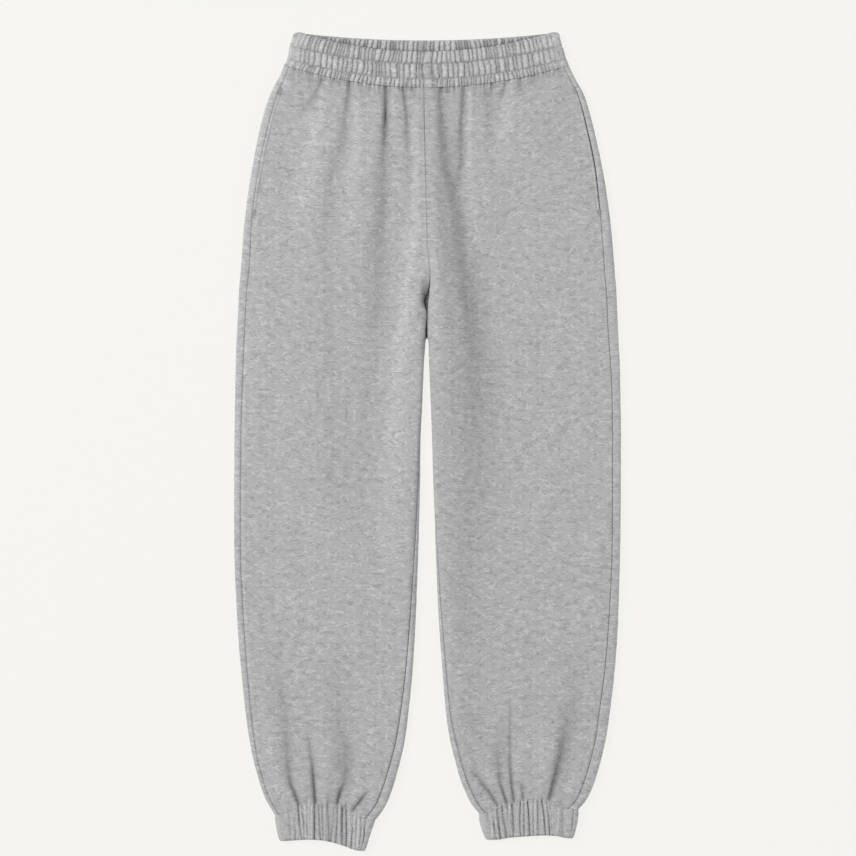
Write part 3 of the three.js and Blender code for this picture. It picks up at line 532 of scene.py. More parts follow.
class Sections:
    """All sections of one leg at a column of heights, so that y, widths and the like are (rows, 1) arrays.

    A place round a section is told by q, the distance from the outermost line of the outer fold: above
    zero it goes over the top towards the inner fold, below zero underneath. Each section is an outer
    fold, half an ellipse, then a stretch across the top that swells near the folds, a flat stretch on the
    table, and an inner fold, half an ellipse, that opens where the legs part.
    """

    def __init__(self, side, heights):
        shape = LEGS[side]
        self.sign, self.seam = shape["sign"], shape["seam"]
        self.y = np.asarray(heights, float)[:, None]
        at = {key: f(self.y) for key, f in leg_curves(side).items()}
        self.outer, self.edge, self.middle = at["outer"], at["edge"], at["middle"]
        self.drop_front, self.drop_back = at["dropFront"], at["dropBack"]
        self.width = self.outer - (self.sign * at["inner"] + SEAM_GAP / 2)
        self.lip = np.radians(at["lip"])
        self.parted = self.y <= FORK_Y
        self.turned = np.where(self.parted, 1, np.cos(np.clip(self.lip, 0, QUARTER)))
        self.foot = FOLD_REACH * smooth((FORK_Y - self.y) / FORK_TAPER)
        self.arc = quarter_arc(FOLD_REACH, self.edge / 2)
        self.flat = self.width - FOLD_REACH - FOLD_REACH * self.turned
        self.flat_under = self.width - FOLD_REACH - self.foot
        self.ankle = smooth(1 - (self.y - self.seam["y"]) / CUFF_REACH)
        self.side_seam = self.arc + at["side"] - FOLD_REACH
        self.front_end = self.arc + self.flat + self.arc * (1 - self.lip / QUARTER)
        round_inner = self.arc + self.flat_under + self.arc * (1 + self.lip / QUARTER)
        self.back_end = np.where(self.parted, round_inner, self.arc + self.width - FOLD_REACH)

    def swell(self, a):
        """Height of the top a distance a in from the outline."""
        from_outer = bell((a - FOLD_REACH) / EDGE_SPREAD)
        to_inner = (self.width - FOLD_REACH * self.turned - a) / EDGE_SPREAD
        from_inner = self.turned * bell(to_inner)
        return self.middle + (self.edge - self.middle) * np.minimum(1, from_outer + from_inner)

    def round(self, q):
        """Where q lies: a, how far in from the outline, z, and the outward direction there."""
        outer_angle = np.clip(q / self.arc, -1, 1) * QUARTER
        past_top = (q - self.arc - self.flat) / self.arc
        past_under = (-q - self.arc - self.flat_under) / self.arc
        inner_angle = QUARTER * np.where(q > 0, 1 - past_top, past_under - 1)
        over = FOLD_REACH * (self.turned - np.cos(inner_angle))
        below = self.foot * (1 - np.cos(inner_angle))
        crest = self.swell(FOLD_REACH + self.flat)
        across = FOLD_REACH + q - self.arc
        beneath = FOLD_REACH - q - self.arc
        beyond = self.width - FOLD_REACH - self.arc * (past_under - 2)
        cases = [
            np.abs(q) < self.arc,
            (q > 0) & (past_top < 0),
            q > 0,
            (past_under < 0) | ~self.parted,
            past_under < 2,
        ]

        def pick(*values):
            return np.select(cases, np.broadcast_arrays(q, *values[:5])[1:], values[5])

        one, none = np.ones_like(q), np.zeros_like(q)
        a = pick(
            FOLD_REACH * (1 - np.cos(outer_angle)),
            across,
            self.width - np.where(inner_angle > 0, over, below),
            beneath,
            self.width - np.where(inner_angle > 0, over, below),
            beyond,
        )
        round_outer = self.edge / 2 * (1 + np.sin(outer_angle))
        round_crest = crest / 2 * (1 + np.sin(inner_angle))
        z = pick(round_outer, self.swell(across), round_crest, none, round_crest, self.swell(beyond))
        out_a = pick(-np.cos(outer_angle), none, np.cos(inner_angle), none, np.cos(inner_angle), none)
        out_z = pick(np.sin(outer_angle), one, np.sin(inner_angle), -one, np.sin(inner_angle), one)
        return a, z, out_a, out_z

    def points(self, q, lift):
        """Points of the garment at q, moved lift outwards, as (rows, columns, 3)."""
        a, z, out_a, out_z = self.round(q)
        a, z = a + out_a * lift, z + out_z * lift
        down = sag(self.drop_back, self.drop_front, a, self.width, z > self.edge / 2)
        up = self.ankle * bow(self.seam, np.clip(a / self.width, 0, 1))
        return np.stack([self.sign * (self.outer - a), self.y - down + up, z], axis=-1)

    def place(self, q):
        """x and y of the garment at q, without its folds."""
        base = self.points(q, np.zeros_like(q))
        return base[..., 0], base[..., 1]

    def front_room(self):
        """How far the inside of the front lies below its outside: more where the garment is thicker."""
        return CLOTH + np.maximum(0, self.middle - 9)

    def to_seams(self):
        """How far each row is from the waist seam and from the cuff."""
        return self.y[0] - self.y, self.y - self.y[-1]


def spaced(*stretches):
    """Numbers along a line in stretches of (from, to, step), each with its own spacing."""
    parts = []
    for start, end, step in stretches:
        count = max(2, round(abs(end - start) / step))
        parts.append(np.linspace(start, end, count, endpoint=False))
    return np.append(np.concatenate(parts), stretches[-1][1])


def leg_heights(side):
    """Heights of the rows of a leg's panels: close at the seams, wider between them."""
    low = LEGS[side]["seam"]["y"] + SEAM_GAP / 2
    top = BAND_SEAM - SEAM_GAP
    return spaced(
        (top, top - 4, 0.7),
        (top - 4, 380, 1.6),
        (380, 146, 4),
        (146, 118, 1),
        (118, -360, 4),
        (-360, low + 4, 1.6),
        (low + 4, low, 0.7),
    )


def across_panel(start, end, near_start, near_end, step):
    """q of each column of a panel as (rows, columns): fixed distances near both edges, and even shares
    of what is left between them."""
    first = start + np.asarray(near_start)
    last = end - np.asarray(near_end)[::-1]
    widest = float(np.max(last[:, :1] - first[:, -1:]))
    share = np.linspace(0, 1, max(3, round(widest / step)))[1:-1]
    between = mix(first[:, -1:], last[:, :1], share)
    return np.concatenate([first, between, last], axis=1)


NEAR_SEAM = (0, 0.35, 0.8, 1.3, 2, 2.8, 3.8, 5, 6.5, 8.2, 10)
NEAR_FOLD = (0, 0.35, 0.8, 1.3, 2, 2.9, 4, 5.2, 6.5, 8, 9.6, 11.3, 13, 15, 17)


def seam_roll(distance, depth=0.9, reach=2.0):
    """The cloth dips beside a seam: a quarter round of the given depth and reach."""
    return -depth * (1 - np.sqrt(np.clip(1 - (1 - np.clip(distance / reach, 0, 1)) ** 2, 0, 1)))


def small_gathers(across, from_seam, pitch, depth, length, seed):
    """Short pleats that a gathered seam leaves in the panel. Their grooves stand a pitch apart, give or
    take a third, and each dies out after its own length."""
    source = np.random.default_rng(seed)
    low, high = float(across.min()), float(across.max())
    centres = np.arange(low, high, pitch)
    centres = centres + source.uniform(-0.33, 0.33, centres.size) * pitch
    total = np.zeros(across.shape)
    for centre in centres:
        reach = length * source.uniform(0.35, 1.25)
        wide = pitch * source.uniform(0.16, 0.3)
        lean = source.uniform(-0.12, 0.12)
        deep = depth * source.uniform(0.35, 1)
        groove = np.exp(-np.abs((across - centre - lean * from_seam) / wide) ** 1.5)
        total -= deep * groove * bell(from_seam / reach)
    return total


def waist_pleats(x, from_waist):
    """The grooves between the gathers of the band's lowest channel run on into the panel, each for a
    length of its own between 2 and 12 mm."""
    u = (x - BAND_MIDDLE) * BAND_SPAN / BAND_HALF
    grooved = np.clip(0.85 - channel_gathers(u, BAND_SEAM, 0, BAND_SEED, BAND_FLAT), 0, 0.85)
    length = 2 + 4.6 * np.clip(1 + waves(u, 0 * u, 10, 77), 0, 2.2)
    return -2.6 * grooved * np.exp(-((from_waist / length) ** 1.5))


def pocket_gape(y, side):
    """How far the front edge of the pocket slit stands open at height y."""
    t = np.clip((y - POCKET_BOTTOM) / (POCKET_TOP - POCKET_BOTTOM), 0, 1)
    return POCKET_GAPE[side] * np.sqrt(np.sin(math.pi * t).clip(0))


def depth_at(rows, y):
    """The depth at height y from rows of heights with their depths."""
    shade = table("y depth", rows)
    return curve(shade["y"], shade["depth"])(y)


def seam_shade(distance, y, rows):
    """Less light in a seam, within a millimetre of it, and two just above the cuffs. rows are heights
    with how much less there."""
    low = smooth((-240 - y) / 120)
    return mix(1, 0.75, low) * depth_at(rows, y) * bell(distance / mix(0.9, 2, low))


# Height down the leg and how much darker than its surroundings the seam is there.
SEAM_SHADES = {
    "rightSide": (
        (460, -0.9), (400, -0.5), (300, -0.2), (250, 0.7), (-100, 1.7), (-240, 2.6), (-300, 2),
        (-460, 3.5),
    ),
    "leftSide": ((460, 1), (280, 4), (100, 5), (-460, 6)),
    "rightInner": (
        (460, 1.6), (300, 1), (215, 0.4), (196, -1.4), (182, -1.8), (172, 0), (120, 0), (-150, 1.5),
        (-240, 6), (-460, 8),
    ),
    "leftInner": ((460, 0.8), (215, 0.6), (175, 0), (120, 0), (0, 1), (-200, 4), (-460, 6)),
}
# How much darker or, with a minus sign, brighter each leg is beside its inner edge, and how far in that
# reaches. The fold turns away from the light on the right leg and towards it on the left.
INNER_RIMS = {
    "right": table(
        "y depth reach",
        [
            (460, 0, 8), (380, -0.3, 8), (320, -0.9, 9), (220, -0.8, 9), (190, 0, 6), (140, 0, 3.4),
            (100, 1.5, 3.4), (20, 3, 3.6), (-60, 4, 4.4), (-200, 3, 4), (-300, 0, 3.4), (-460, 0, 3.4),
        ],
    ),
    "left": table(
        "y depth reach",
        [
            (460, 0, 3.4), (140, 0, 3.4), (60, -0.8, 3.4), (-60, -0.6, 4), (-150, -0.5, 10),
            (-240, -0.8, 14), (-380, -0.7, 14), (-460, 0, 12),
        ],
    ),
}
# Painted shadow in the slit above the fork, on the right leg: its depth and width, and the soft shade beside
# it.
FORK_SLIT = table(
    "y depth wide soft",
    [
        (182, 0, 3, 0), (176, 3, 3, 0), (170, 6, 2.8, 0), (164, 9, 2.5, 0.6), (157, 8.4, 1.5, 1.6),
        (150, 7.6, 1.4, 3), (142, 9.6, 1.8, 4), (135, 11.4, 2.3, 4.4), (127.5, 11.4, 2.6, 4.4),
        (125.5, 0, 2.6, 4.2), (112, 0, 2.4, 2.6), (96, 0, 2.4, 0),
    ],
)


def fork_slit(distance, y):
    """Painted shadow of the slit at a distance in from the fold's edge, with a flat floor and soft sides."""
    y = np.clip(y, 96, 182)
    deep, wide, soft = (curve(FORK_SLIT["y"], FORK_SLIT[key])(y) for key in ("depth", "wide", "soft"))
    return deep * np.exp(-((distance / wide) ** 4)) + soft * bell(distance / 7.5)


def inner_rim(distance, y, side):
    """Shade beside the inner edge of a leg."""
    rim = INNER_RIMS[side]
    depth, reach = curve(rim["y"], rim["depth"])(y), curve(rim["y"], rim["reach"])(y)
    return depth * bell(distance / reach)


def creased(folds, sharp_first=True):
    """The pointed folds of a list, or with sharp_first false its soft ones."""
    return [(sharp, line) for sharp, line in folds if (sharp < POINTED) == sharp_first]


def front_sink(x, y, side):
    """How far the inside of the front follows the broad troughs down, so that its wall stays whole."""
    deep = relief(BROAD, x, y) + fork_dip(x, y, side)
    return np.clip(deep, -3.2, 0)


def front_folds(side, rows, x, y):
    """Heights of the soft and of the pointed folds of a front, with the pleats at its gathered seams."""
    from_waist, from_cuff = rows.to_seams()
    soft = relief(creased(FRONT_FOLDS, False), x, y)
    sharp = relief(creased(FRONT_FOLDS), x, y) + waist_pleats(x, from_waist)
    return soft, sharp + small_gathers(x, from_cuff, 5, 1.3, 7, 9 + len(side))


def front_shade(side, rows, x, y, from_side, from_inner):
    """Shade of a front besides that of its folds: in its seams, beside its inner edge, along the waist
    and the cuff, and in the slit above the fork."""
    from_waist, from_cuff = rows.to_seams()
    tone = seam_shade(from_side, rows.y, SEAM_SHADES[side + "Side"])
    tone += seam_shade(from_inner, rows.y, SEAM_SHADES[side + "Inner"])
    tone += inner_rim(from_inner, rows.y, side) + 0.4 * bell(from_cuff / 26)
    tone += 0.45 * bell(from_waist / 30) - 1.5 * bell(from_waist / 1.3)
    tone += 1.1 * crumple_shading(x, y) * (bell(from_cuff / 4) + 0.7 * bell(from_waist / 5))
    if side == "right":
        tone += fork_slit(rows.outer - rows.width + x, rows.y)
        # A painted highlight beside the right leg's side seam, below the hips.
        tone -= 1.1 * bell((from_side - 2.6) / 1.5) * smooth((180 - rows.y) / 80)
    return tone


def front_face(side, rows, q, start, end):
    """Lift and painted shade (tone) of the outside of a front at q, between its seams at start and end. At
    the cuff it takes over the cuff's folds and their painted shade."""
    x, y = rows.place(q)
    from_side, from_inner = q - start, end - q
    from_waist, from_cuff = rows.to_seams()
    calm = smooth(from_side / CALM_EDGE) * smooth(from_inner / CALM_EDGE)
    soft, sharp = front_folds(side, rows, x, y)
    dip = fork_dip(x, y, side)
    seams = seam_roll(from_side) + seam_roll(from_inner)
    seams += seam_roll(from_waist, 0.22, 1.2) + pocket_hem(from_side, rows.y)
    lift = calm * (soft + sharp + 0.2 * waves(x, y, 46, 3)) + 0.1 * waves(x, y, 17, 4) + dip + seams
    # tone is painted shade: darker in the troughs, the seam rolls and the fork hollow, with painted highlight
    # on the swells and the pocket's ridge.
    tone = front_shade(side, rows, x, y, from_side, from_inner)
    tone -= calm * (soft + 1.9 * sharp) + 2.6 * dip + seams
    at_cuff = calm * bell(from_cuff / 3.4)
    cuff_rise, cuff_tone = cuff_face(x, 0.0, side)
    lowest = 0.6 - rows.front_room() + front_sink(x, y, side)
    return np.maximum(mix(lift, cuff_rise, at_cuff), lowest), mix(tone, cuff_tone, at_cuff)


def front_grid(side):
    """Outside, inside and map of a front panel, from the side seam over the top to the centre front
    seam, and below that to the inseam."""
    rows = Sections(side, leg_heights(side))
    start = rows.side_seam + SEAM_GAP / 2 + pocket_gape(rows.y, side)
    end = rows.front_end - SEAM_GAP / 2
    q = across_panel(start, end, NEAR_SEAM, NEAR_FOLD, 1.15)
    lift, tone = front_face(side, rows, q, start, end)
    inside = across_panel(start, end, (0, 3), (0, 4, 9, 14), 14)
    sunk = front_sink(*rows.place(inside), side)
    return rows, q, lift, inside, sunk - rows.front_room(), np.clip(tone, *FRONT_PAINTED_SHADE)


def pocket_hem(from_side, y):
    """The folded edge of the pocket: a round ridge 3 mm wide with its stitching in a groove inside."""
    beside = smooth((y - POCKET_BOTTOM + 4) / 8) * smooth((POCKET_TOP + 4 - y) / 8)
    ridge = 0.55 * bell((from_side - 1.8) / 1.5)
    groove = -0.5 * bell((from_side - 4.2) / 0.8)
    return beside * (ridge + groove)


def crumple_shading(x, y):
    """Painted light and shade of the little crumples of cloth that is gathered into a seam."""
    return waves(x, 0.7 * y, 3.4, 88) * np.clip(waves(x, y, 13, 89) + 0.6, 0, 1.4)


def fork_dip(x, y, side):
    """A hollow on the right leg beside the seam, just above where the legs part."""
    if side == "left":
        return 0.35 * np.exp(-(((x - 5.5) / 4) ** 2) - ((y - 180) / 34) ** 2)
    down = np.where(y > 171, (y - 171) / 20, (y - 171) / 8)
    return -4.1 * np.exp(-(np.abs((x + 1.6) / 6.2) ** 2.3) - down**2)


# How much darker the strip of the back is that shows inside of each inseam: heights and depths.
STRIP_SHADES = {
    "right": (
        (470, 0), (-170, 0), (-260, -1.2), (-300, -1.5), (-330, -1.2), (-366, -1.3), (-402, -0.4), (-460, -1),
    ),
    "left": ((470, 0), (-170, 0), (-260, -0.6), (-300, -0.6), (-340, -0.4), (-400, -0.4), (-460, -0.9)),
}


def back_shade(side, rows, under, from_inner):
    """Shade of a back besides that of its folds: lighter round the outer fold, and along the strip that
    shows inside of the inseam."""
    from_waist, from_cuff = rows.to_seams()
    tone = -mix(0.3, 1.1, smooth((rows.y - 200) / 150)) * bell(np.clip(under, 0, None) / 3)
    if side == "left":
        tone -= 2.2 * bell((under + 2) / 4.2) * smooth((240 - rows.y) / 60)
    tone += smooth((20 - from_inner) / 8) * depth_at(STRIP_SHADES[side], rows.y)
    return tone - 1.3 * bell(from_cuff / 1.4) + 1.0 * bell(from_waist / 1.4)


def back_folds(side, rows, x, y):
    """Creases of a back, with the pleats at its gathered seams."""
    from_waist, from_cuff = rows.to_seams()
    lift = relief(BACK_FOLDS, x, y)
    lift += small_gathers(x, from_waist, 6.2, 1.4, 11, 25 + len(side))
    return lift + small_gathers(x, from_cuff, 5.6, 1.4, 10, 29 + len(side))


def back_seams(rows, from_side, from_inner):
    """How a back dips into its seams, with its seam allowance as a low ridge beside the side seam."""
    from_waist, from_cuff = rows.to_seams()
    allowance = smooth((9 - from_side) / 1.2) * smooth((from_side - 0.5) / 1.5)
    lift = seam_roll(from_side) + seam_roll(from_inner) + 0.3 * allowance
    return lift + seam_roll(from_waist, 0.4, 1.4) + seam_roll(from_cuff, 0.3, 1.2)


def back_grid(side):
    """Outside and inside of a back panel: from the side seam round the outer fold, flat along the table
    to the centre back seam, and below the fork round the inner fold to the inseam."""
    rows = Sections(side, leg_heights(side))
    start = -(rows.side_seam - SEAM_GAP / 2)
    end = rows.back_end - SEAM_GAP / 2
    under = across_panel(start, end, (*NEAR_SEAM, 12, 14, 16, 18.5), (*NEAR_FOLD, 19, 21.5, 24), 2.6)
    x, y, z = np.moveaxis(rows.points(-under, np.zeros_like(under)), -1, 0)
    from_side, from_inner = under - start, end - under
    calm = smooth((from_side - 12) / 12) * smooth((from_inner - 6) / 10)
    folds = calm * back_folds(side, rows, x, y)
    # Painted shade, darker in the back's creases and lighter where the cloth rises, with that of back_shade.
    tone = np.clip(-folds, -2, 5) + back_shade(side, rows, under, from_inner)
    on_table = z < 0.5
    lift = folds + back_seams(rows, from_side, from_inner)
    lift = np.where(on_table, np.minimum(lift, 0), lift + 0.13 * waves(x, y, 17, 4))
    inside = -across_panel(start, end, (0, 3, 7, 11, 15), (0, 3, 7, 11, 15, 20), 24)
    return rows, -under, np.maximum(lift, 1 - CLOTH), inside, np.full(inside.shape, -CLOTH), tone


def enclosed(points, triangles):
    """Six times the volume that triangles enclose, above zero where they face outwards."""
    corners = points[triangles]
    return np.einsum("ij,ij->i", corners[:, 0], np.cross(corners[:, 1], corners[:, 2])).sum()


def outward(points, faces):
    """The faces, turned round if they face inwards. A quad counts as two triangles."""
    volume = enclosed(points, faces[:, :3])
    if faces.shape[1] == 4:
        volume += enclosed(points, faces[:, [0, 2, 3]])
    return faces[:, ::-1] if volume < 0 else faces


def cloth_mesh(name, points, faces, uv, groove, walls=0):
    """A smooth mesh from points in millimetres, with a UV map in metres of cloth and the painted shade of
    each point as the attribute "groove": darker above zero, a painted highlight below it. A corner of -1 is
    none, as in a triangle. The last faces, as many as walls, are flat."""
    faces = outward(points, faces)
    mesh = bpy.data.meshes.new(name)
    mesh.vertices.add(len(points))
    mesh.vertices.foreach_set("co", (points * MM).astype(np.float32).ravel())
    flat = faces.ravel()
    keep = flat >= 0
    sizes = (faces >= 0).sum(axis=1)
    mesh.loops.add(int(sizes.sum()))
    mesh.loops.foreach_set("vertex_index", flat[keep].astype(np.int32))
    mesh.polygons.add(len(faces))
    starts = np.concatenate([[0], np.cumsum(sizes)[:-1]])
    mesh.polygons.foreach_set("loop_start", starts.astype(np.int32))
    mesh.polygons.foreach_set("use_smooth", np.arange(len(faces)) < len(faces) - walls)
    mesh.update(calc_edges=True)
    layer = mesh.uv_layers.new(name="cloth")
    layer.uv.foreach_set("vector", (uv[flat[keep]] * MM).astype(np.float32).ravel())
    # The painted shade goes on each point as the attribute groove.
    depth = mesh.attributes.new("groove", "FLOAT", "POINT")
    depth.data.foreach_set("value", groove.astype(np.float32))
    piece = bpy.data.objects.new(name, mesh)
    bpy.context.scene.collection.objects.link(piece)
    return piece


def grid_faces(rows, columns, offset=0, close_columns=False, close_rows=False):
    """Quads of a grid whose points are numbered row by row from offset."""
    r = np.arange(rows if close_rows else rows - 1)[:, None]
    c = np.arange(columns if close_columns else columns - 1)[None, :]
    r, c = np.broadcast_arrays(r, c)
    down, along = (r + 1) % rows, (c + 1) % columns
    quads = [r * columns + c, r * columns + along, down * columns + along, down * columns + c]
    return np.stack([q.ravel() for q in quads], axis=1) + offset


def zip_strip(long_row, short_row):
    """Faces between a row of many points and one of few: triangles fanned from each point of the short
    row, with a quad wherever the nearest short point changes."""
    many, few = len(long_row), len(short_row)
    nearest = np.round(np.arange(many) * (few - 1) / (many - 1)).astype(int)
    near, far = short_row[nearest[:-1]], short_row[nearest[1:]]
    third = np.where(near == far, -1, near)
    return np.stack([long_row[:-1], long_row[1:], far, third], axis=1)


def shell(name, outside, inside, uv_outside, uv_inside, groove):
    """A closed wall from a fine outside grid and a coarse inside grid with the same rows: both grids, a
    strip of quads along each side and a zipped strip at each end."""
    rows, many = outside.shape[:2]
    few = inside.shape[1]
    first = rows * many
    out_index = np.arange(first).reshape(rows, many)
    in_index = first + np.arange(rows * few).reshape(rows, few)

    def side(column_a, column_b):
        return np.stack([column_a[:-1], column_a[1:], column_b[1:], column_b[:-1]], axis=1)

    faces = np.concatenate(
        [
            grid_faces(rows, many),
            grid_faces(rows, few, first)[:, ::-1],
            side(out_index[:, 0], in_index[:, 0]),
            side(out_index[:, -1], in_index[:, -1])[:, ::-1],
            zip_strip(out_index[0], in_index[0])[:, [1, 0, 3, 2]],
            zip_strip(out_index[-1], in_index[-1]),
        ]
    )
    points = np.concatenate([outside.reshape(-1, 3), inside.reshape(-1, 3)])
    uv = np.concatenate([uv_outside.reshape(-1, 2), uv_inside.reshape(-1, 2)])
    # Painted shade on the outside only; the inside has none.
    depth = np.concatenate([groove.ravel(), np.zeros(inside.shape[0] * inside.shape[1])])
    walls = 2 * (rows - 1) + 2 * (many - 1)
    return cloth_mesh(name, points, faces, uv, depth, walls)


def panel(name, grid, side):
    """A front or back panel from its grid of q and lift, and the points of its outside."""
    rows, q, lift, q_inside, lift_inside, tone = grid(side)
    outside = rows.points(q, lift)
    inside = rows.points(q_inside, lift_inside)
    along = np.broadcast_to(rows.y, q.shape)
    along_inside = np.broadcast_to(rows.y, q_inside.shape)
    uv = np.stack([rows.sign * (rows.outer - q), along], axis=-1)
    uv_inside = np.stack([rows.sign * (rows.outer - q_inside), along_inside], axis=-1)
    # tone, the painted shade, goes to the mesh as its groove attribute.
    return shell(name, outside, inside, uv, uv_inside, tone), outside


def gather_rows(low, high, pitch, seed, calm=(), wild=0.45):
    """Places of the grooves between gathers from low to high, a pitch apart give or take wild, with none
    inside the calm strips."""
    source = np.random.default_rng(seed)
    steps = pitch * source.uniform(1 - wild, 1 + wild, int((high - low) / pitch / (1 - wild)) + 2)
    places = low + np.cumsum(steps)
    places = places[places < high - pitch * 0.4]
    for left, right in calm:
        places = places[(places < left) | (places > right)]
        places = np.append(places, [left, right])
    return np.sort(np.concatenate([[low], places, [high]]))


def puffs(u, grooves, seed, sharp=0.55):
    """Round tops between narrow grooves: sin(pi * share of the way between two grooves) ** sharp, each
    top with its own height. The value is 0 in a groove and about 1 on a top."""
    source = np.random.default_rng(seed)
    top = source.uniform(0.6, 1.15, len(grooves) + 1)
    number = np.interp(u, grooves, np.arange(len(grooves)))
    index = np.clip(number.astype(int), 0, len(grooves) - 1)
    share = number - index
    gap = np.append(np.diff(grooves), grooves[-1] - grooves[-2])[index]
    height = np.minimum(1, gap / 5.5) ** 0.7
    return np.sin(np.pi * np.clip(share, 0, 1)) ** sharp * top[index] * height


class Tube:
    """Columns round a flattened tube: a front layer from right to left, an end, a back layer from left
    to right and the other end. across is from -1 to 1, angle a quarter on top, minus a quarter beneath."""

    def __init__(self, per_layer, per_end):
        layer = np.linspace(-1, 1, per_layer + 1)
        turn = QUARTER * (1 - 2 * np.arange(1, per_end) / per_end)
        none, ends = np.zeros(per_layer + 1), np.ones(per_end - 1)
        self.across = np.concatenate([layer, ends, layer[::-1], -ends])
        self.angle = np.concatenate([none + QUARTER, turn, none - QUARTER, -turn])
        self.end = np.concatenate([none, ends, none, -ends])
        self.on_top = self.angle > QUARTER - 0.01
        self.beneath = self.angle < 0.01 - QUARTER

    def ring(self, reach, inward, rise, thick, middle, half):
        """x and z round the tube, moved inward from the outside and then out by rise, which dies away
        under the ends."""
        held = np.where(np.abs(self.end) * self.angle < 0, 1 + np.sin(self.angle), 1)
        x = middle + self.across * (half - reach) + self.end * (reach - inward) * np.cos(self.angle)
        z = thick / 2 + (thick / 2 - inward + rise * held) * np.sin(self.angle)
        return x, z


def closed_ring(name, ring, uv, tone):
    """The mesh of a ring of cloth from its grid of points, closed both round it and across its wall. Its
    last strip, which is the wall's edge at the seam, is flat."""
    faces = grid_faces(*ring.shape[:2], close_columns=True, close_rows=True)
    return cloth_mesh(name, ring.reshape(-1, 3), faces, uv.reshape(-1, 2), tone.ravel(), ring.shape[1])


def band_dip(x, line, is_front):
    """How much lower than its outer end a line round the band lies at x."""
    on_right = x < BAND_CENTRE
    from_side = np.where(on_right, x + line["right"], line["left"] - x)
    width = np.where(on_right, BAND_CENTRE + line["right"], line["left"] - BAND_CENTRE)
    return sag(line["dropBack"], line["dropFront"], from_side, width, is_front)


def band_point(tube, heights, inward, rise):
    """Points of the waistband at a column of heights, as (rows, columns, 3)."""
    heights = np.asarray(heights, float)[:, None]
    line = band_line(heights)
    middle, half = (line["left"] - line["right"]) / 2, (line["left"] + line["right"]) / 2
    x, z = tube.ring(FOLD_REACH, inward, rise, BAND_THICK, middle, half)
    down = band_dip(x, line, tube.angle[None, :] > 0)
    return np.stack(np.broadcast_arrays(x, heights - down, z), axis=-1)


def band_line(heights):
    """The columns of BAND_LINES as smooth functions of height."""
    keys = ("right", "left", "dropFront", "dropBack")
    return {key: curve(BAND_LINES["y"], BAND_LINES[key])(heights) for key in keys}


def channel_gathers(u, h, channel, seed, flat):
    """Gathers of one channel at u along the band and height h: 0 in a groove and about 1 on a top. The
    grooves drift sideways with height."""
    drift = 1.3 * waves(u, h * 2.2, 60, seed + 8) + 0.45 * waves(u, h * 1.4, 14, seed + 12)
    places = gather_rows(-BAND_SPAN, BAND_SPAN, CHANNEL_PITCHES[channel], seed + channel, [flat])
    return puffs(u + drift, places, seed + channel, 0.42)


def band_gathers(tube, u, h, seed):
    """Gathers round the band in channels between its stitch lines, other ones in front than behind, and
    fainter on the stitch lines."""
    levels = (BAND_SEAM - 1, *BAND_STITCHES, BAND_TOP + 9)
    total = np.zeros(np.broadcast(u, h).shape)
    for channel in range(3):
        inside = (h >= levels[channel]) & (h < levels[channel + 1])
        front = channel_gathers(u, h, channel, seed, BAND_FLAT)
        back = channel_gathers(u, h, channel, seed + 40, BACK_FLAT)
        total = np.where(inside, np.where(tube.angle > 0, front, back), total)
    held = sum(bell((h - line) / 0.8) for line in BAND_STITCHES)
    return mix(total, 0.6, 0.6 * held)


BAND_ROWS = spaced(
    (BAND_SEAM, 460, 0.45),
    (460, 464.6, 0.9),
    (464.6, 467.8, 0.4),
    (467.8, 480.6, 1.2),
    (480.6, 483.8, 0.4),
    (483.8, 497.6, 1.2),
    (497.6, BAND_TOP, 0.45),
)
BAND_INNER_ROWS = spaced((BAND_TOP, 494, 0.8), (494, 480, 2), (480, BAND_SEAM, 8))

# Heights on the band and how much painted shade it has there: the middle channel is darker, and the lowest is
# lighter.
BAND_SHADE = ((458, 466, 470, 479, 482, 500), (-0.4, -0.4, 0.8, 0.8, 0, 0))


def band_outside(tube, u):
    """Outside of the waistband, and how far it stands out: puffed between its stitch lines and gathered
    in front and behind, but drawn in where it rests on the table."""
    h = BAND_ROWS[:, None]
    puff = curve(BAND_LINES["y"], BAND_LINES["puff"])(h)
    calm = np.clip(1.35 - np.abs(u / BAND_SPAN) ** 5, 0.35, 1)
    rise = puff * 0.55 + (band_gathers(tube, u, h, BAND_SEED) - 0.76) * 3 * calm
    moved = np.where(tube.on_top, rise, puff * 0.7)
    moved = np.where(tube.beneath, np.clip(rise - 1.2, -2.6, 0), moved)
    return band_point(tube, BAND_ROWS, 0, moved), rise


def band_inside(tube, u):
    """Inside of the waistband from its top down, and its shade. It is gathered where its back half shows
    above the front."""
    depth = (BAND_TOP - BAND_INNER_ROWS)[:, None]
    gathered = band_gathers(tube, u, BAND_INNER_ROWS[:, None], INNER_BAND_SEED)
    fade = smooth((27 - depth) / 10) * smooth(depth / 2.5)
    rise = np.where(tube.beneath, -(gathered - 0.6) * 2.6 * fade, 0)
    inside = band_point(tube, BAND_INNER_ROWS, BAND_WALL, rise)
    return inside, (0.72 - gathered) * 9 * fade + band_shadow(inside)


def band_tone(tube, u, rise):
    """Shade of the outside of the waistband: darker between its gathers, and lighter at both ends."""
    tone = 2.3 * (0.1 - rise) + 0.35 + curve(*BAND_SHADE)(BAND_ROWS[:, None])
    ends = 2.2 * bell((u + BAND_SPAN) / 8) + 1.6 * bell((u - BAND_SPAN) / 6)
    return tone * np.abs(np.sin(tube.angle)) - ends


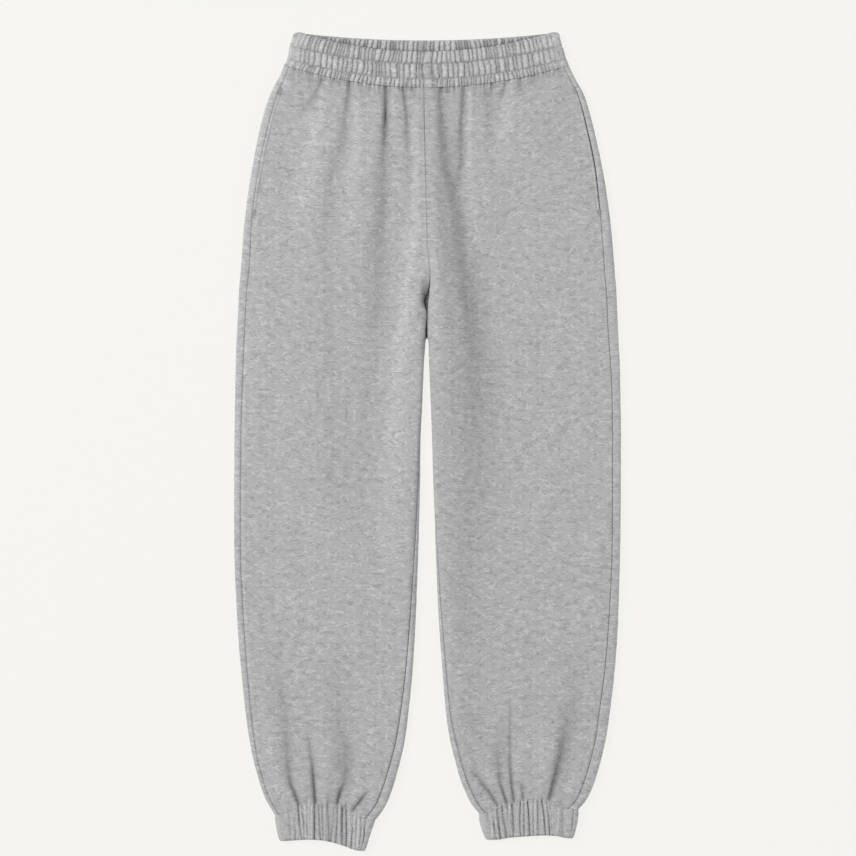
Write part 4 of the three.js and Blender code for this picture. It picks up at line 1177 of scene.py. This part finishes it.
def waistband():
    """The waistband, a flattened ring of folded cloth gathered in three channels, and the points of its
    outside."""
    tube = Tube(*BAND_COLUMNS)
    u = (tube.across * BAND_SPAN)[None, :]
    outside, rise = band_outside(tube, u)
    top = band_point(tube, [BAND_TOP + 0.35], BAND_WALL * 0.45, rise[-1:] * 0.25)
    inside, shade = band_inside(tube, u)
    beyond = 2 * BAND_TOP + BAND_TURN - BAND_INNER_ROWS
    down = np.concatenate([BAND_ROWS, [BAND_TOP + BAND_TURN / 2], beyond])
    uv = np.stack(np.broadcast_arrays(BAND_FULLNESS * (u + tube.end * 8), down[:, None]), axis=-1)
    # Painted shade of the band's outside and inside, and none on the row round its top edge.
    tone = np.concatenate([band_tone(tube, u, rise), 0 * top[..., 2], shade])
    ring = np.concatenate([outside, top, inside])
    return closed_ring("waistband_cloth", ring, uv, np.clip(tone, *BAND_PAINTED_SHADE)), outside


def band_shadow(inside):
    """The inside of the band is darkest along the top edge of its front: 5.5 * exp(-distance / 1.5) and a
    softer 2 * exp(-distance / 7)."""
    x, y = inside[..., 0], inside[..., 1]
    front_top = BAND_TOP - band_dip(x, band_line(BAND_TOP), True)
    above = np.clip(y - front_top, 0, 60)
    return 5.5 * np.exp(-above / 1.5) + 2 * np.exp(-above / 7)


def cuff_point(tube, shape, down, inward, rise):
    """Points of a cuff at shares of the way down from its seam to its hem, as (rows, columns, 3). Its
    ends stand out by sin(pi * down ** 0.8) times their swell, and its hem is rounded at both corners."""
    down = np.asarray(down, float)[:, None]
    seam, hem, sign = shape["seam"], shape["hem"], shape["sign"]
    bulge = np.sin(np.pi * np.clip(down, 0, 1) ** 0.8)
    corner = 0.9 * smooth((down - 0.85) / 0.15) ** 2
    outer = mix(seam["outer"], hem["outer"], down) + shape["swell"][0] * bulge - corner
    inner = mix(seam["inner"], hem["inner"], down) - shape["swell"][1] * bulge + corner
    half = (outer - inner) / 2
    offset, z = tube.ring(FOLD_REACH, inward, rise, CUFF_THICK, 0, half)
    s = np.clip(0.5 - sign * offset / (2 * half), 0, 1)
    y = mix(seam["y"] - SEAM_GAP / 2 + bow(seam, s), hem["y"] + bow(hem, s), down)
    return np.stack(np.broadcast_arrays(sign * (outer + inner) / 2 + offset, y, z), axis=-1)


def groove_field(x, down, grooves, seed):
    """Depth of a cuff's grooves at x: each runs from its place at the seam to its place at the hem, and
    bends and narrows on the way."""
    source = np.random.default_rng(seed)
    total = np.zeros(np.broadcast(x, down).shape)
    for seam, hem, depth in zip(*grooves.values()):
        wobble = source.uniform(-1, 1) * np.sin(np.pi * down)
        wide = source.uniform(0.9, 1.4) * mix(1, source.uniform(0.7, 1.4), down)
        fade = mix(source.uniform(0.75, 1.15), source.uniform(0.6, 1.15), down)
        off = (x - mix(seam, hem, down) - wobble) / wide
        total = total + depth * fade * np.exp(-np.abs(off) ** 1.3)
    return total


def calm_side(x, shape):
    """1 across most of a cuff, falling to 0.2 beside its outer fold, where the cloth lies smooth."""
    from_outer = shape["seam"]["outer"] - shape["sign"] * x
    return mix(0.2, 1, smooth((from_outer - 14) / 10))


# Where a cuff is a shade darker: the place across it, half its width and how much.
CUFF_SHADES = {"right": ((-119, 13, 1.3), (-175, 10, 1.2), (-88, 9, -0.6)), "left": ((168, 11, 1.2),)}


def cuff_swell(share):
    """How far a cuff stands out at a share of the way down, apart from its folds."""
    return mix(0.1, 1.3, smooth(share / 0.25)) - 2.3 * (1 - smooth((1 - share) / 0.08))


def cuff_face(x, share, side):
    """Rise and painted shade (tone) of the front of a cuff at x, a share of the way down: darker in its
    grooves, lighter on its ribs and along its hem. The leg takes them over at the seam, so that the gathers
    run across it."""
    folds = groove_field(x, share, GROOVES[side], 50 + len(side))
    ribs = puffs(x + 0.9 * waves(x, share * 34, 16, 52), gather_rows(-190, 190, 4, 53), 54, 0.45)
    ribbed = 1.2 * (ribs - 0.7) * calm_side(x, LEGS[side])
    rise = np.maximum(cuff_swell(share) - 1.5 * folds + ribbed + 0.5, -2.9)
    shade = sum(depth * bell((x - place) / wide) for place, wide, depth in CUFF_SHADES[side])
    # Painted highlight along the hem, and painted light and shade of the crumples below the seam.
    hem = 1.7 * bell((1 - share) / 0.035)
    crumpled = 1.1 * crumple_shading(x, -CUFF_DEPTH * share) * bell(share / 0.22)
    return rise, 2.5 * folds - 2.3 * ribbed - 1.5 + shade - hem + crumpled


def cuff(side):
    """A cuff: a flattened ring of folded cloth with folds across it. Those behind lie a little further
    to the left than those in front."""
    shape = LEGS[side]
    tube = Tube(*CUFF_COLUMNS)
    down = spaced((0, 0.06, 0.012), (0.06, 0.9, 0.035), (0.9, 0.99, 0.012))
    inner = np.linspace(0.985, 0, 8)
    x, share = cuff_point(tube, shape, down, 0, 0)[..., 0], down[:, None]
    front, front_tone = cuff_face(x, share, side)
    behind = {**GROOVES[side]}
    for key in ("seam", "hem"):
        behind[key] = behind[key] + FOLDS_BEHIND
    back = -groove_field(x, share, behind, 60 + len(side))
    ends = cuff_swell(share) * 0.5
    rise = np.where(tube.on_top, front, np.where(tube.beneath, np.clip(back, -2.6, 0), ends))
    outside = cuff_point(tube, shape, down, 0, rise)
    hem = cuff_point(tube, shape, [1.0], CUFF_WALL * 0.45, rise[-1:] * 0.2)
    inside = cuff_point(tube, shape, inner, CUFF_WALL, 0)
    u = 1.4 * (tube.across + tube.end * 0.12) * 60
    beyond = CUFF_DEPTH + CUFF_TURN + np.linspace(0, CUFF_DEPTH, inner.size)
    v = -np.concatenate([down * CUFF_DEPTH, [CUFF_DEPTH + CUFF_TURN / 2], beyond])
    uv = np.stack(np.broadcast_arrays(u[None, :], v[:, None]), axis=-1)
    # Painted shade from the grooves in front and behind, and a painted highlight round the ends.
    tone = np.where(tube.on_top, front_tone, np.where(tube.beneath, -back, -0.8))
    tone = np.concatenate([tone, np.zeros((1 + inner.size, u.size))])
    ring = np.concatenate([outside, hem, inside])
    return closed_ring(f"{side}_cuff_cloth", ring, uv, np.clip(tone, *CUFF_PAINTED_SHADE))


def pocket_bag(side):
    """A pocket bag: two thin layers joined all round but at the mouth. Its section is a hairpin whose
    depth shrinks in a rounded lower corner."""
    shape, curves = LEGS[side], leg_curves(side)
    sign = shape["sign"]
    y = spaced((BAG["top"], BAG["bottom"], 3))[:, None]
    lower = np.clip((BAG["bottom"] + BAG["corner"] - y) / BAG["corner"], 0, 1)
    mouth = SECTIONS["side" + shape["side"]].mean() + BAG["behind"]
    end = mouth + BAG["depth"] - BAG["corner"] * (1 - np.sqrt(1 - lower**2))
    outer = curves["outer"](y)
    width = outer - sign * curves["inner"](y)

    def hairpin(low, high, end):
        t = np.linspace(0, 1, 24)[None, :]
        a = mix(mouth, end, t)
        a = np.concatenate([a, a[:, ::-1]], axis=1)
        z = np.concatenate([np.full(t.size, low), np.full(t.size, high)])[None, :] + 0 * a
        down = sag(curves["dropBack"](y), 0, a, width, False)
        return np.stack([sign * (outer - a), y - down, z], axis=-1)

    outside = hairpin(BAG_LOW, BAG_HIGH, end)
    inside = hairpin(BAG_LOW + BAG["wall"], BAG_HIGH - BAG["wall"], end - BAG["wall"])
    flat = np.zeros(outside.shape[:2])
    return shell(f"{side}_pocket_bag_cloth", outside, inside, outside[..., :2], inside[..., :2], flat)


def stitches(name, route, length, pitch, radius, sink=0.0, turn=0.0):
    """Stitches along a route of points (n, 3): each is a low six-sided bead, an ellipsoid of a given
    length, set a pitch apart. It lies along the route, or turned from it by an angle on the cloth."""
    step = np.linalg.norm(np.diff(route, axis=0), axis=1)
    travelled = np.concatenate([[0], np.cumsum(step)])
    places = np.arange(pitch / 2, travelled[-1], pitch)

    def at(distance):
        return np.stack([np.interp(distance, travelled, route[:, k]) for k in range(3)], axis=1)

    centre, ahead = at(places), at(places + 0.5) - at(places - 0.5)
    ahead /= np.linalg.norm(ahead, axis=1, keepdims=True) + 1e-9
    aside = np.cross([0, 0, 1.0], ahead)
    aside /= np.linalg.norm(aside, axis=1, keepdims=True) + 1e-9
    along = ahead * math.cos(turn) + aside * math.sin(turn)
    side = np.cross([0, 0, 1.0], along)
    up = np.cross(along, side)
    spine = np.array([-1, -0.6, 0, 0.6, 1]) * length / 2
    girth = np.array([0.2, 0.85, 1, 0.85, 0.2]) * radius
    ring = np.linspace(0, 2 * math.pi, 6, endpoint=False)
    local = np.stack(
        [
            np.repeat(spine, 6),
            np.outer(girth, np.cos(ring)).ravel(),
            np.outer(girth, np.sin(ring)).ravel() - sink,
        ]
    )
    axes = np.stack([along, side, up], axis=1)
    bead = centre[:, None, :] + np.einsum("kp,nkc->npc", local, axes)
    cap = np.array([[0, 1, 2, 3], [3, 4, 5, 0]])
    one = np.concatenate([grid_faces(5, 6, close_columns=True), cap[:, ::-1], cap + 24])
    faces = (one[None, :, :] + 30 * np.arange(len(centre))[:, None, None]).reshape(-1, 4)
    points = bead.reshape(-1, 3)
    return cloth_mesh(name, points, faces, points[:, :2], np.zeros(len(points)))


def band_stitches(number, height, outside):
    """One of the band's two rows of stitches, all the way round it on the row of its outside nearest to
    a height."""
    route = outside[np.argmin(np.abs(BAND_ROWS - height))]
    route = np.concatenate([route[::2], route[:1]])
    return stitches(f"band_stitches_{number}", route, 2.5, 3.1, 0.42, 0.1)


def pocket_stitches(side, outside):
    """The topstitching along a pocket's front edge, and a bar tack across the seam at each end, on the
    points of the front's outside."""
    heights = leg_heights(side)
    beside = (heights < POCKET_TOP) & (heights > POCKET_BOTTOM)
    yield stitches(f"{side}_pocket_topstitch", outside[beside, TOPSTITCH_COLUMN], 2.5, 3.1, 0.4, 0.1)
    for end, height in (("top", POCKET_TOP), ("foot", POCKET_BOTTOM)):
        near = np.abs(heights - height) < 4.6
        name = f"{side}_pocket_tack_{end}"
        yield stitches(name, outside[near, TACK_COLUMN], 4.6, 0.75, 0.42, 0.0, QUARTER)


def node(tree, kind, place, **inputs):
    """A shader node with its inputs set by name."""
    made = tree.nodes.new(kind)
    made.location = place
    for key, value in inputs.items():
        made.inputs[key.replace("_", " ")].default_value = value
    return made


def maths(tree, operation, a, b, place):
    """A maths node whose inputs are sockets or numbers."""
    made = tree.nodes.new("ShaderNodeMath")
    made.operation = operation
    made.location = place
    for socket, value in zip(made.inputs, (a, b)):
        if isinstance(value, (int, float)):
            socket.default_value = value
        else:
            tree.links.new(value, socket)
    return made.outputs[0]


def stretched_noise(tree, vector, scale, detail, place):
    """Noise whose grain has a size of its own along each axis, in metres."""
    mapping = node(tree, "ShaderNodeMapping", place)
    mapping.inputs["Scale"].default_value = [1 / s for s in scale]
    tree.links.new(vector, mapping.inputs["Vector"])
    beside = (place[0] + 180, place[1])
    noise = node(tree, "ShaderNodeTexNoise", beside, Scale=1.0, Detail=detail, Roughness=0.55)
    tree.links.new(mapping.outputs[0], noise.inputs["Vector"])
    return noise.outputs["Fac"]


def between(tree, value, low, high, place):
    """0 below low, 1 above high, smooth between them."""
    made = tree.nodes.new("ShaderNodeMapRange")
    made.interpolation_type = "SMOOTHSTEP"
    made.location = place
    made.inputs["From Min"].default_value = low
    made.inputs["From Max"].default_value = high
    tree.links.new(value, made.inputs["Value"])
    return made.outputs["Result"]


def blend_colour(tree, kind, amount, a, b, place):
    """A colour mix node. amount, a and b are sockets or values."""
    made = tree.nodes.new("ShaderNodeMix")
    made.data_type = "RGBA"
    made.blend_type = kind
    made.location = place
    for socket, value in ((made.inputs[0], amount), (made.inputs[6], a), (made.inputs[7], b)):
        if isinstance(value, (int, float, tuple)):
            socket.default_value = value
        else:
            tree.links.new(value, socket)
    return made.outputs[2]


def grey(value):
    """A neutral colour."""
    return (value, value, value, 1.0)


def strands(tree, cloth, scale, width, row):
    """Short curly strands: the line along which a stretched noise is a half, broken up by another."""
    noise = stretched_noise(tree, cloth, (*scale, 1), 0.0, (-900, row))
    away = maths(tree, "ABSOLUTE", maths(tree, "SUBTRACT", noise, 0.5, (-500, row)), 0.0, (-350, row))
    line = between(tree, away, width, 0.0, (-200, row))
    other = stretched_noise(tree, cloth, (scale[0] * 1.3, scale[1] * 1.9, 0.7), 1.0, (-900, row - 200))
    gate = between(tree, other, 0.46, 0.58, (-200, row - 200))
    return maths(tree, "MULTIPLY", line, gate, (0, row))


def empty_group(name, inputs, output, kind):
    """A node group with sockets, inputs as names with their kinds, and its input and output nodes."""
    tree = bpy.data.node_groups.new(name, "ShaderNodeTree")
    for key, value in inputs.items():
        tree.interface.new_socket(key, in_out="INPUT", socket_type="NodeSocket" + value)
    tree.interface.new_socket(output, in_out="OUTPUT", socket_type="NodeSocket" + kind)
    return tree, node(tree, "NodeGroupInput", (-1200, 0)), node(tree, "NodeGroupOutput", (1000, 0))


def marl_group():
    """Marl yarn as a group: short curly darker and lighter fibres that lie mostly along the courses of the
    knit, a finer grain, a slow cloudiness, and painted shade: 8.5 per cent darker for each unit of its last
    input, with a painted highlight where that is below zero."""
    sockets = {"Cloth": "Vector", "Ground": "Color", "Dark": "Color", "Light": "Color", "PaintedShade": "Float"}
    tree, source, target = empty_group("marl", sockets, "Colour", "Color")
    cloth = source.outputs["Cloth"]
    dark = strands(tree, cloth, (0.0088, 0.0038), 0.13, 600)
    light = strands(tree, cloth, (0.0079, 0.0034), 0.12, 100)
    fibre = stretched_noise(tree, cloth, (0.0042, 0.0024, 1), 2.0, (-900, -400))
    cloud = stretched_noise(tree, cloth, (0.05, 0.035, 1), 2.0, (-900, -700))
    colour = blend_colour(tree, "MIX", dark, source.outputs["Ground"], source.outputs["Dark"], (200, 200))
    colour = blend_colour(tree, "MIX", light, colour, source.outputs["Light"], (380, 100))
    tone = maths(tree, "ADD", maths(tree, "MULTIPLY", fibre, 0.34, (-200, -400)), 0.83, (0, -400))
    slow = maths(tree, "ADD", maths(tree, "MULTIPLY", cloud, 0.14, (-200, -700)), 0.93, (0, -700))
    shade = maths(tree, "MULTIPLY", tone, slow, (200, -500))
    # Painted shade: the colour is 8.5 per cent darker for each unit, and lighter below zero.
    deep = maths(tree, "MULTIPLY", source.outputs["PaintedShade"], -0.085, (200, -700))
    shade = maths(tree, "MULTIPLY", shade, maths(tree, "ADD", deep, 1.0, (380, -700)), (560, -500))
    colour = blend_colour(tree, "MULTIPLY", 1.0, colour, shade, (760, 0))
    tree.links.new(colour, target.inputs["Colour"])
    return tree


def knit_group():
    """Height of a jersey face: upright wales a millimetre apart, courses across them, and the nap."""
    tree, source, target = empty_group("knit", {"Cloth": "Vector", "Wale": "Float"}, "Height", "Float")
    split = node(tree, "ShaderNodeSeparateXYZ", (-700, 200))
    tree.links.new(source.outputs["Cloth"], split.inputs[0])
    turn = maths(tree, "DIVIDE", 2 * math.pi, source.outputs["Wale"], (-700, -50))
    wales = maths(tree, "SINE", maths(tree, "MULTIPLY", split.outputs[0], turn, (-500, 250)), 0, (-300, 250))
    quick = maths(tree, "MULTIPLY", turn, 1.3, (-500, 0))
    courses = maths(tree, "SINE", maths(tree, "MULTIPLY", split.outputs[1], quick, (-300, 50)), 0, (-150, 50))
    stitch = maths(tree, "MULTIPLY", maths(tree, "ADD", wales, courses, (0, 200)), 0.12, (150, 200))
    nap = stretched_noise(tree, source.outputs["Cloth"], (0.0022, 0.0009, 1), 3.0, (-500, -300))
    tree.links.new(maths(tree, "ADD", stitch, nap, (400, 100)), target.inputs["Height"])
    return tree


def group_node(tree, group, place, cloth):
    """A node for one of the groups that read the cloth's own map."""
    made = node(tree, "ShaderNodeGroup", place)
    made.node_tree = group
    tree.links.new(cloth, made.inputs["Cloth"])
    return made


def fleece(name, greys, wale, bump, roughness, sheen):
    """Sweatshirt fleece: marl colour, jersey bump and a faint sheen from its nap. greys are the ground
    of the marl and its darker and lighter fibres."""
    material = bpy.data.materials.new(name)
    material.use_nodes = True
    tree = material.node_tree
    shader = tree.nodes["Principled BSDF"]
    finish = {
        "Roughness": roughness,
        "Specular IOR Level": 0.15,
        "Sheen Weight": sheen,
        "Sheen Roughness": 0.6,
    }
    for key, value in finish.items():
        shader.inputs[key].default_value = value
    cloth = node(tree, "ShaderNodeUVMap", (-900, 0))
    cloth.uv_map = "cloth"
    # The painted shade from the groove attribute darkens the marl colour, and lightens it below zero.
    depth = node(tree, "ShaderNodeAttribute", (-900, -250))
    depth.attribute_name = "groove"
    colour = group_node(tree, MARL, (-500, 150), cloth.outputs[0])
    for key, value in zip(("Ground", "Dark", "Light"), greys):
        colour.inputs[key].default_value = grey(value)
    tree.links.new(depth.outputs["Fac"], colour.inputs["PaintedShade"])
    tree.links.new(colour.outputs["Colour"], shader.inputs["Base Color"])
    face = group_node(tree, KNIT, (-500, -250), cloth.outputs[0])
    face.inputs["Wale"].default_value = wale
    raised = node(tree, "ShaderNodeBump", (-250, -250), Strength=bump, Distance=0.0006)
    tree.links.new(face.outputs["Height"], raised.inputs["Height"])
    tree.links.new(raised.outputs["Normal"], shader.inputs["Normal"])
    return material


def dress(piece, material, slot, *nodes):
    """Gives a piece its material and body, and hides the nodes that it stands for. slot is not used."""
    piece.data.materials.append(material)
    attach(piece, "root")
    if nodes:
        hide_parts(*nodes)


MARL = marl_group()
KNIT = knit_group()
FLEECE = fleece("marl_fleece", (0.466, 0.363, 0.583), 0.0011, 0.35, 0.95, 0.15)
POCKETING = fleece("pocketing", (0.5, 0.44, 0.55), 0.0007, 0.2, 0.9, 0.05)
THREAD = fleece("thread", (0.4, 0.36, 0.46), 0.0004, 0.2, 0.7, 0.0)

for side in LEGS:
    front, front_points = panel(f"{side}_front_cloth", front_grid, side)
    dress(front, FLEECE, "fleece", f"front_{side}")
    for seam in pocket_stitches(side, front_points):
        dress(seam, THREAD, "fleece")
    back = panel(f"{side}_back_cloth", back_grid, side)[0]
    dress(back, FLEECE, "fleece", f"back_{side}")
    bag = pocket_bag(side)
    dress(bag, POCKETING, "pocketing", f"pocket_bag_{side}")
    ankle = cuff(side)
    dress(ankle, FLEECE, "fleece", f"cuff_{side}")

band, band_points = waistband()
dress(band, FLEECE, "fleece", "waistband")
for number, height in enumerate(BAND_STITCHES):
    dress(band_stitches(number, height, band_points), THREAD, "fleece")

LIGHT_AWAY = 5.0  # metres from the garment to each light
PIXEL = 1.2225 * MM  # one pixel of the 856 pixel frame, on the garment
FRAME_PIXELS = 856
FRAME_CENTRE = (0.0004, 0.0159)  # the place on the garment at the middle of the frame
LENS = 85.0
SENSOR = 36.0


def floor_material():
    """Plain off-white backdrop."""
    material = bpy.data.materials.new("backdrop")
    material.use_nodes = True
    shader = material.node_tree.nodes["Principled BSDF"]
    shader.inputs["Base Color"].default_value = (0.08, 0.08, 0.078, 1)
    shader.inputs["Roughness"].default_value = 1.0
    shader.inputs["Specular IOR Level"].default_value = 0.0
    shader.inputs["Emission Color"].default_value = (1.0, 0.99, 0.955, 1)
    shader.inputs["Emission Strength"].default_value = 0.84
    return material


def stage():
    """Floor, and light from above and a little from the upper left."""
    bpy.ops.mesh.primitive_plane_add(size=12, location=(0, 0, -0.0003))
    floor = bpy.context.object
    floor.name = "floor"
    floor.data.materials.append(floor_material())
    world = bpy.data.worlds.new("studio")
    world.use_nodes = True
    world.node_tree.nodes["Background"].inputs["Color"].default_value = (1, 1, 1, 1)
    world.node_tree.nodes["Background"].inputs["Strength"].default_value = 0.4
    bpy.context.scene.world = world
    soft_light("key", 1.95, 44, 158)
    soft_light("fill", 0.62, 52, 10)


def soft_light(name, strength, tilt, azimuth):
    """A round soft box LIGHT_AWAY from the garment, tilted from overhead towards an azimuth in degrees.
    strength is what it sheds on a surface that faces it there, and its power is strength * pi * away ** 2."""
    lamp = bpy.data.lights.new(name, "AREA")
    lamp.shape = "DISK"
    lamp.size = 2.2
    lamp.energy = strength * math.pi * LIGHT_AWAY**2
    light = bpy.data.objects.new(name, lamp)
    tilt, azimuth = math.radians(tilt), math.radians(azimuth)
    across = LIGHT_AWAY * math.sin(tilt)
    light.location = (across * math.cos(azimuth), across * math.sin(azimuth), LIGHT_AWAY * math.cos(tilt))
    light.rotation_euler = (0, tilt, azimuth)
    bpy.context.scene.collection.objects.link(light)


def camera():
    """A long lens straight above, image up along +Y."""
    lens = bpy.data.cameras.new("overhead")
    lens.lens = LENS
    lens.sensor_width = SENSOR
    lens.clip_end = 50
    height = FRAME_PIXELS * PIXEL * LENS / SENSOR
    eye = bpy.data.objects.new("overhead", lens)
    eye.location = (*FRAME_CENTRE, height + 0.01)
    bpy.context.scene.collection.objects.link(eye)
    bpy.context.scene.camera = eye


stage()
camera()
bpy.context.scene.view_settings.view_transform = "Standard"
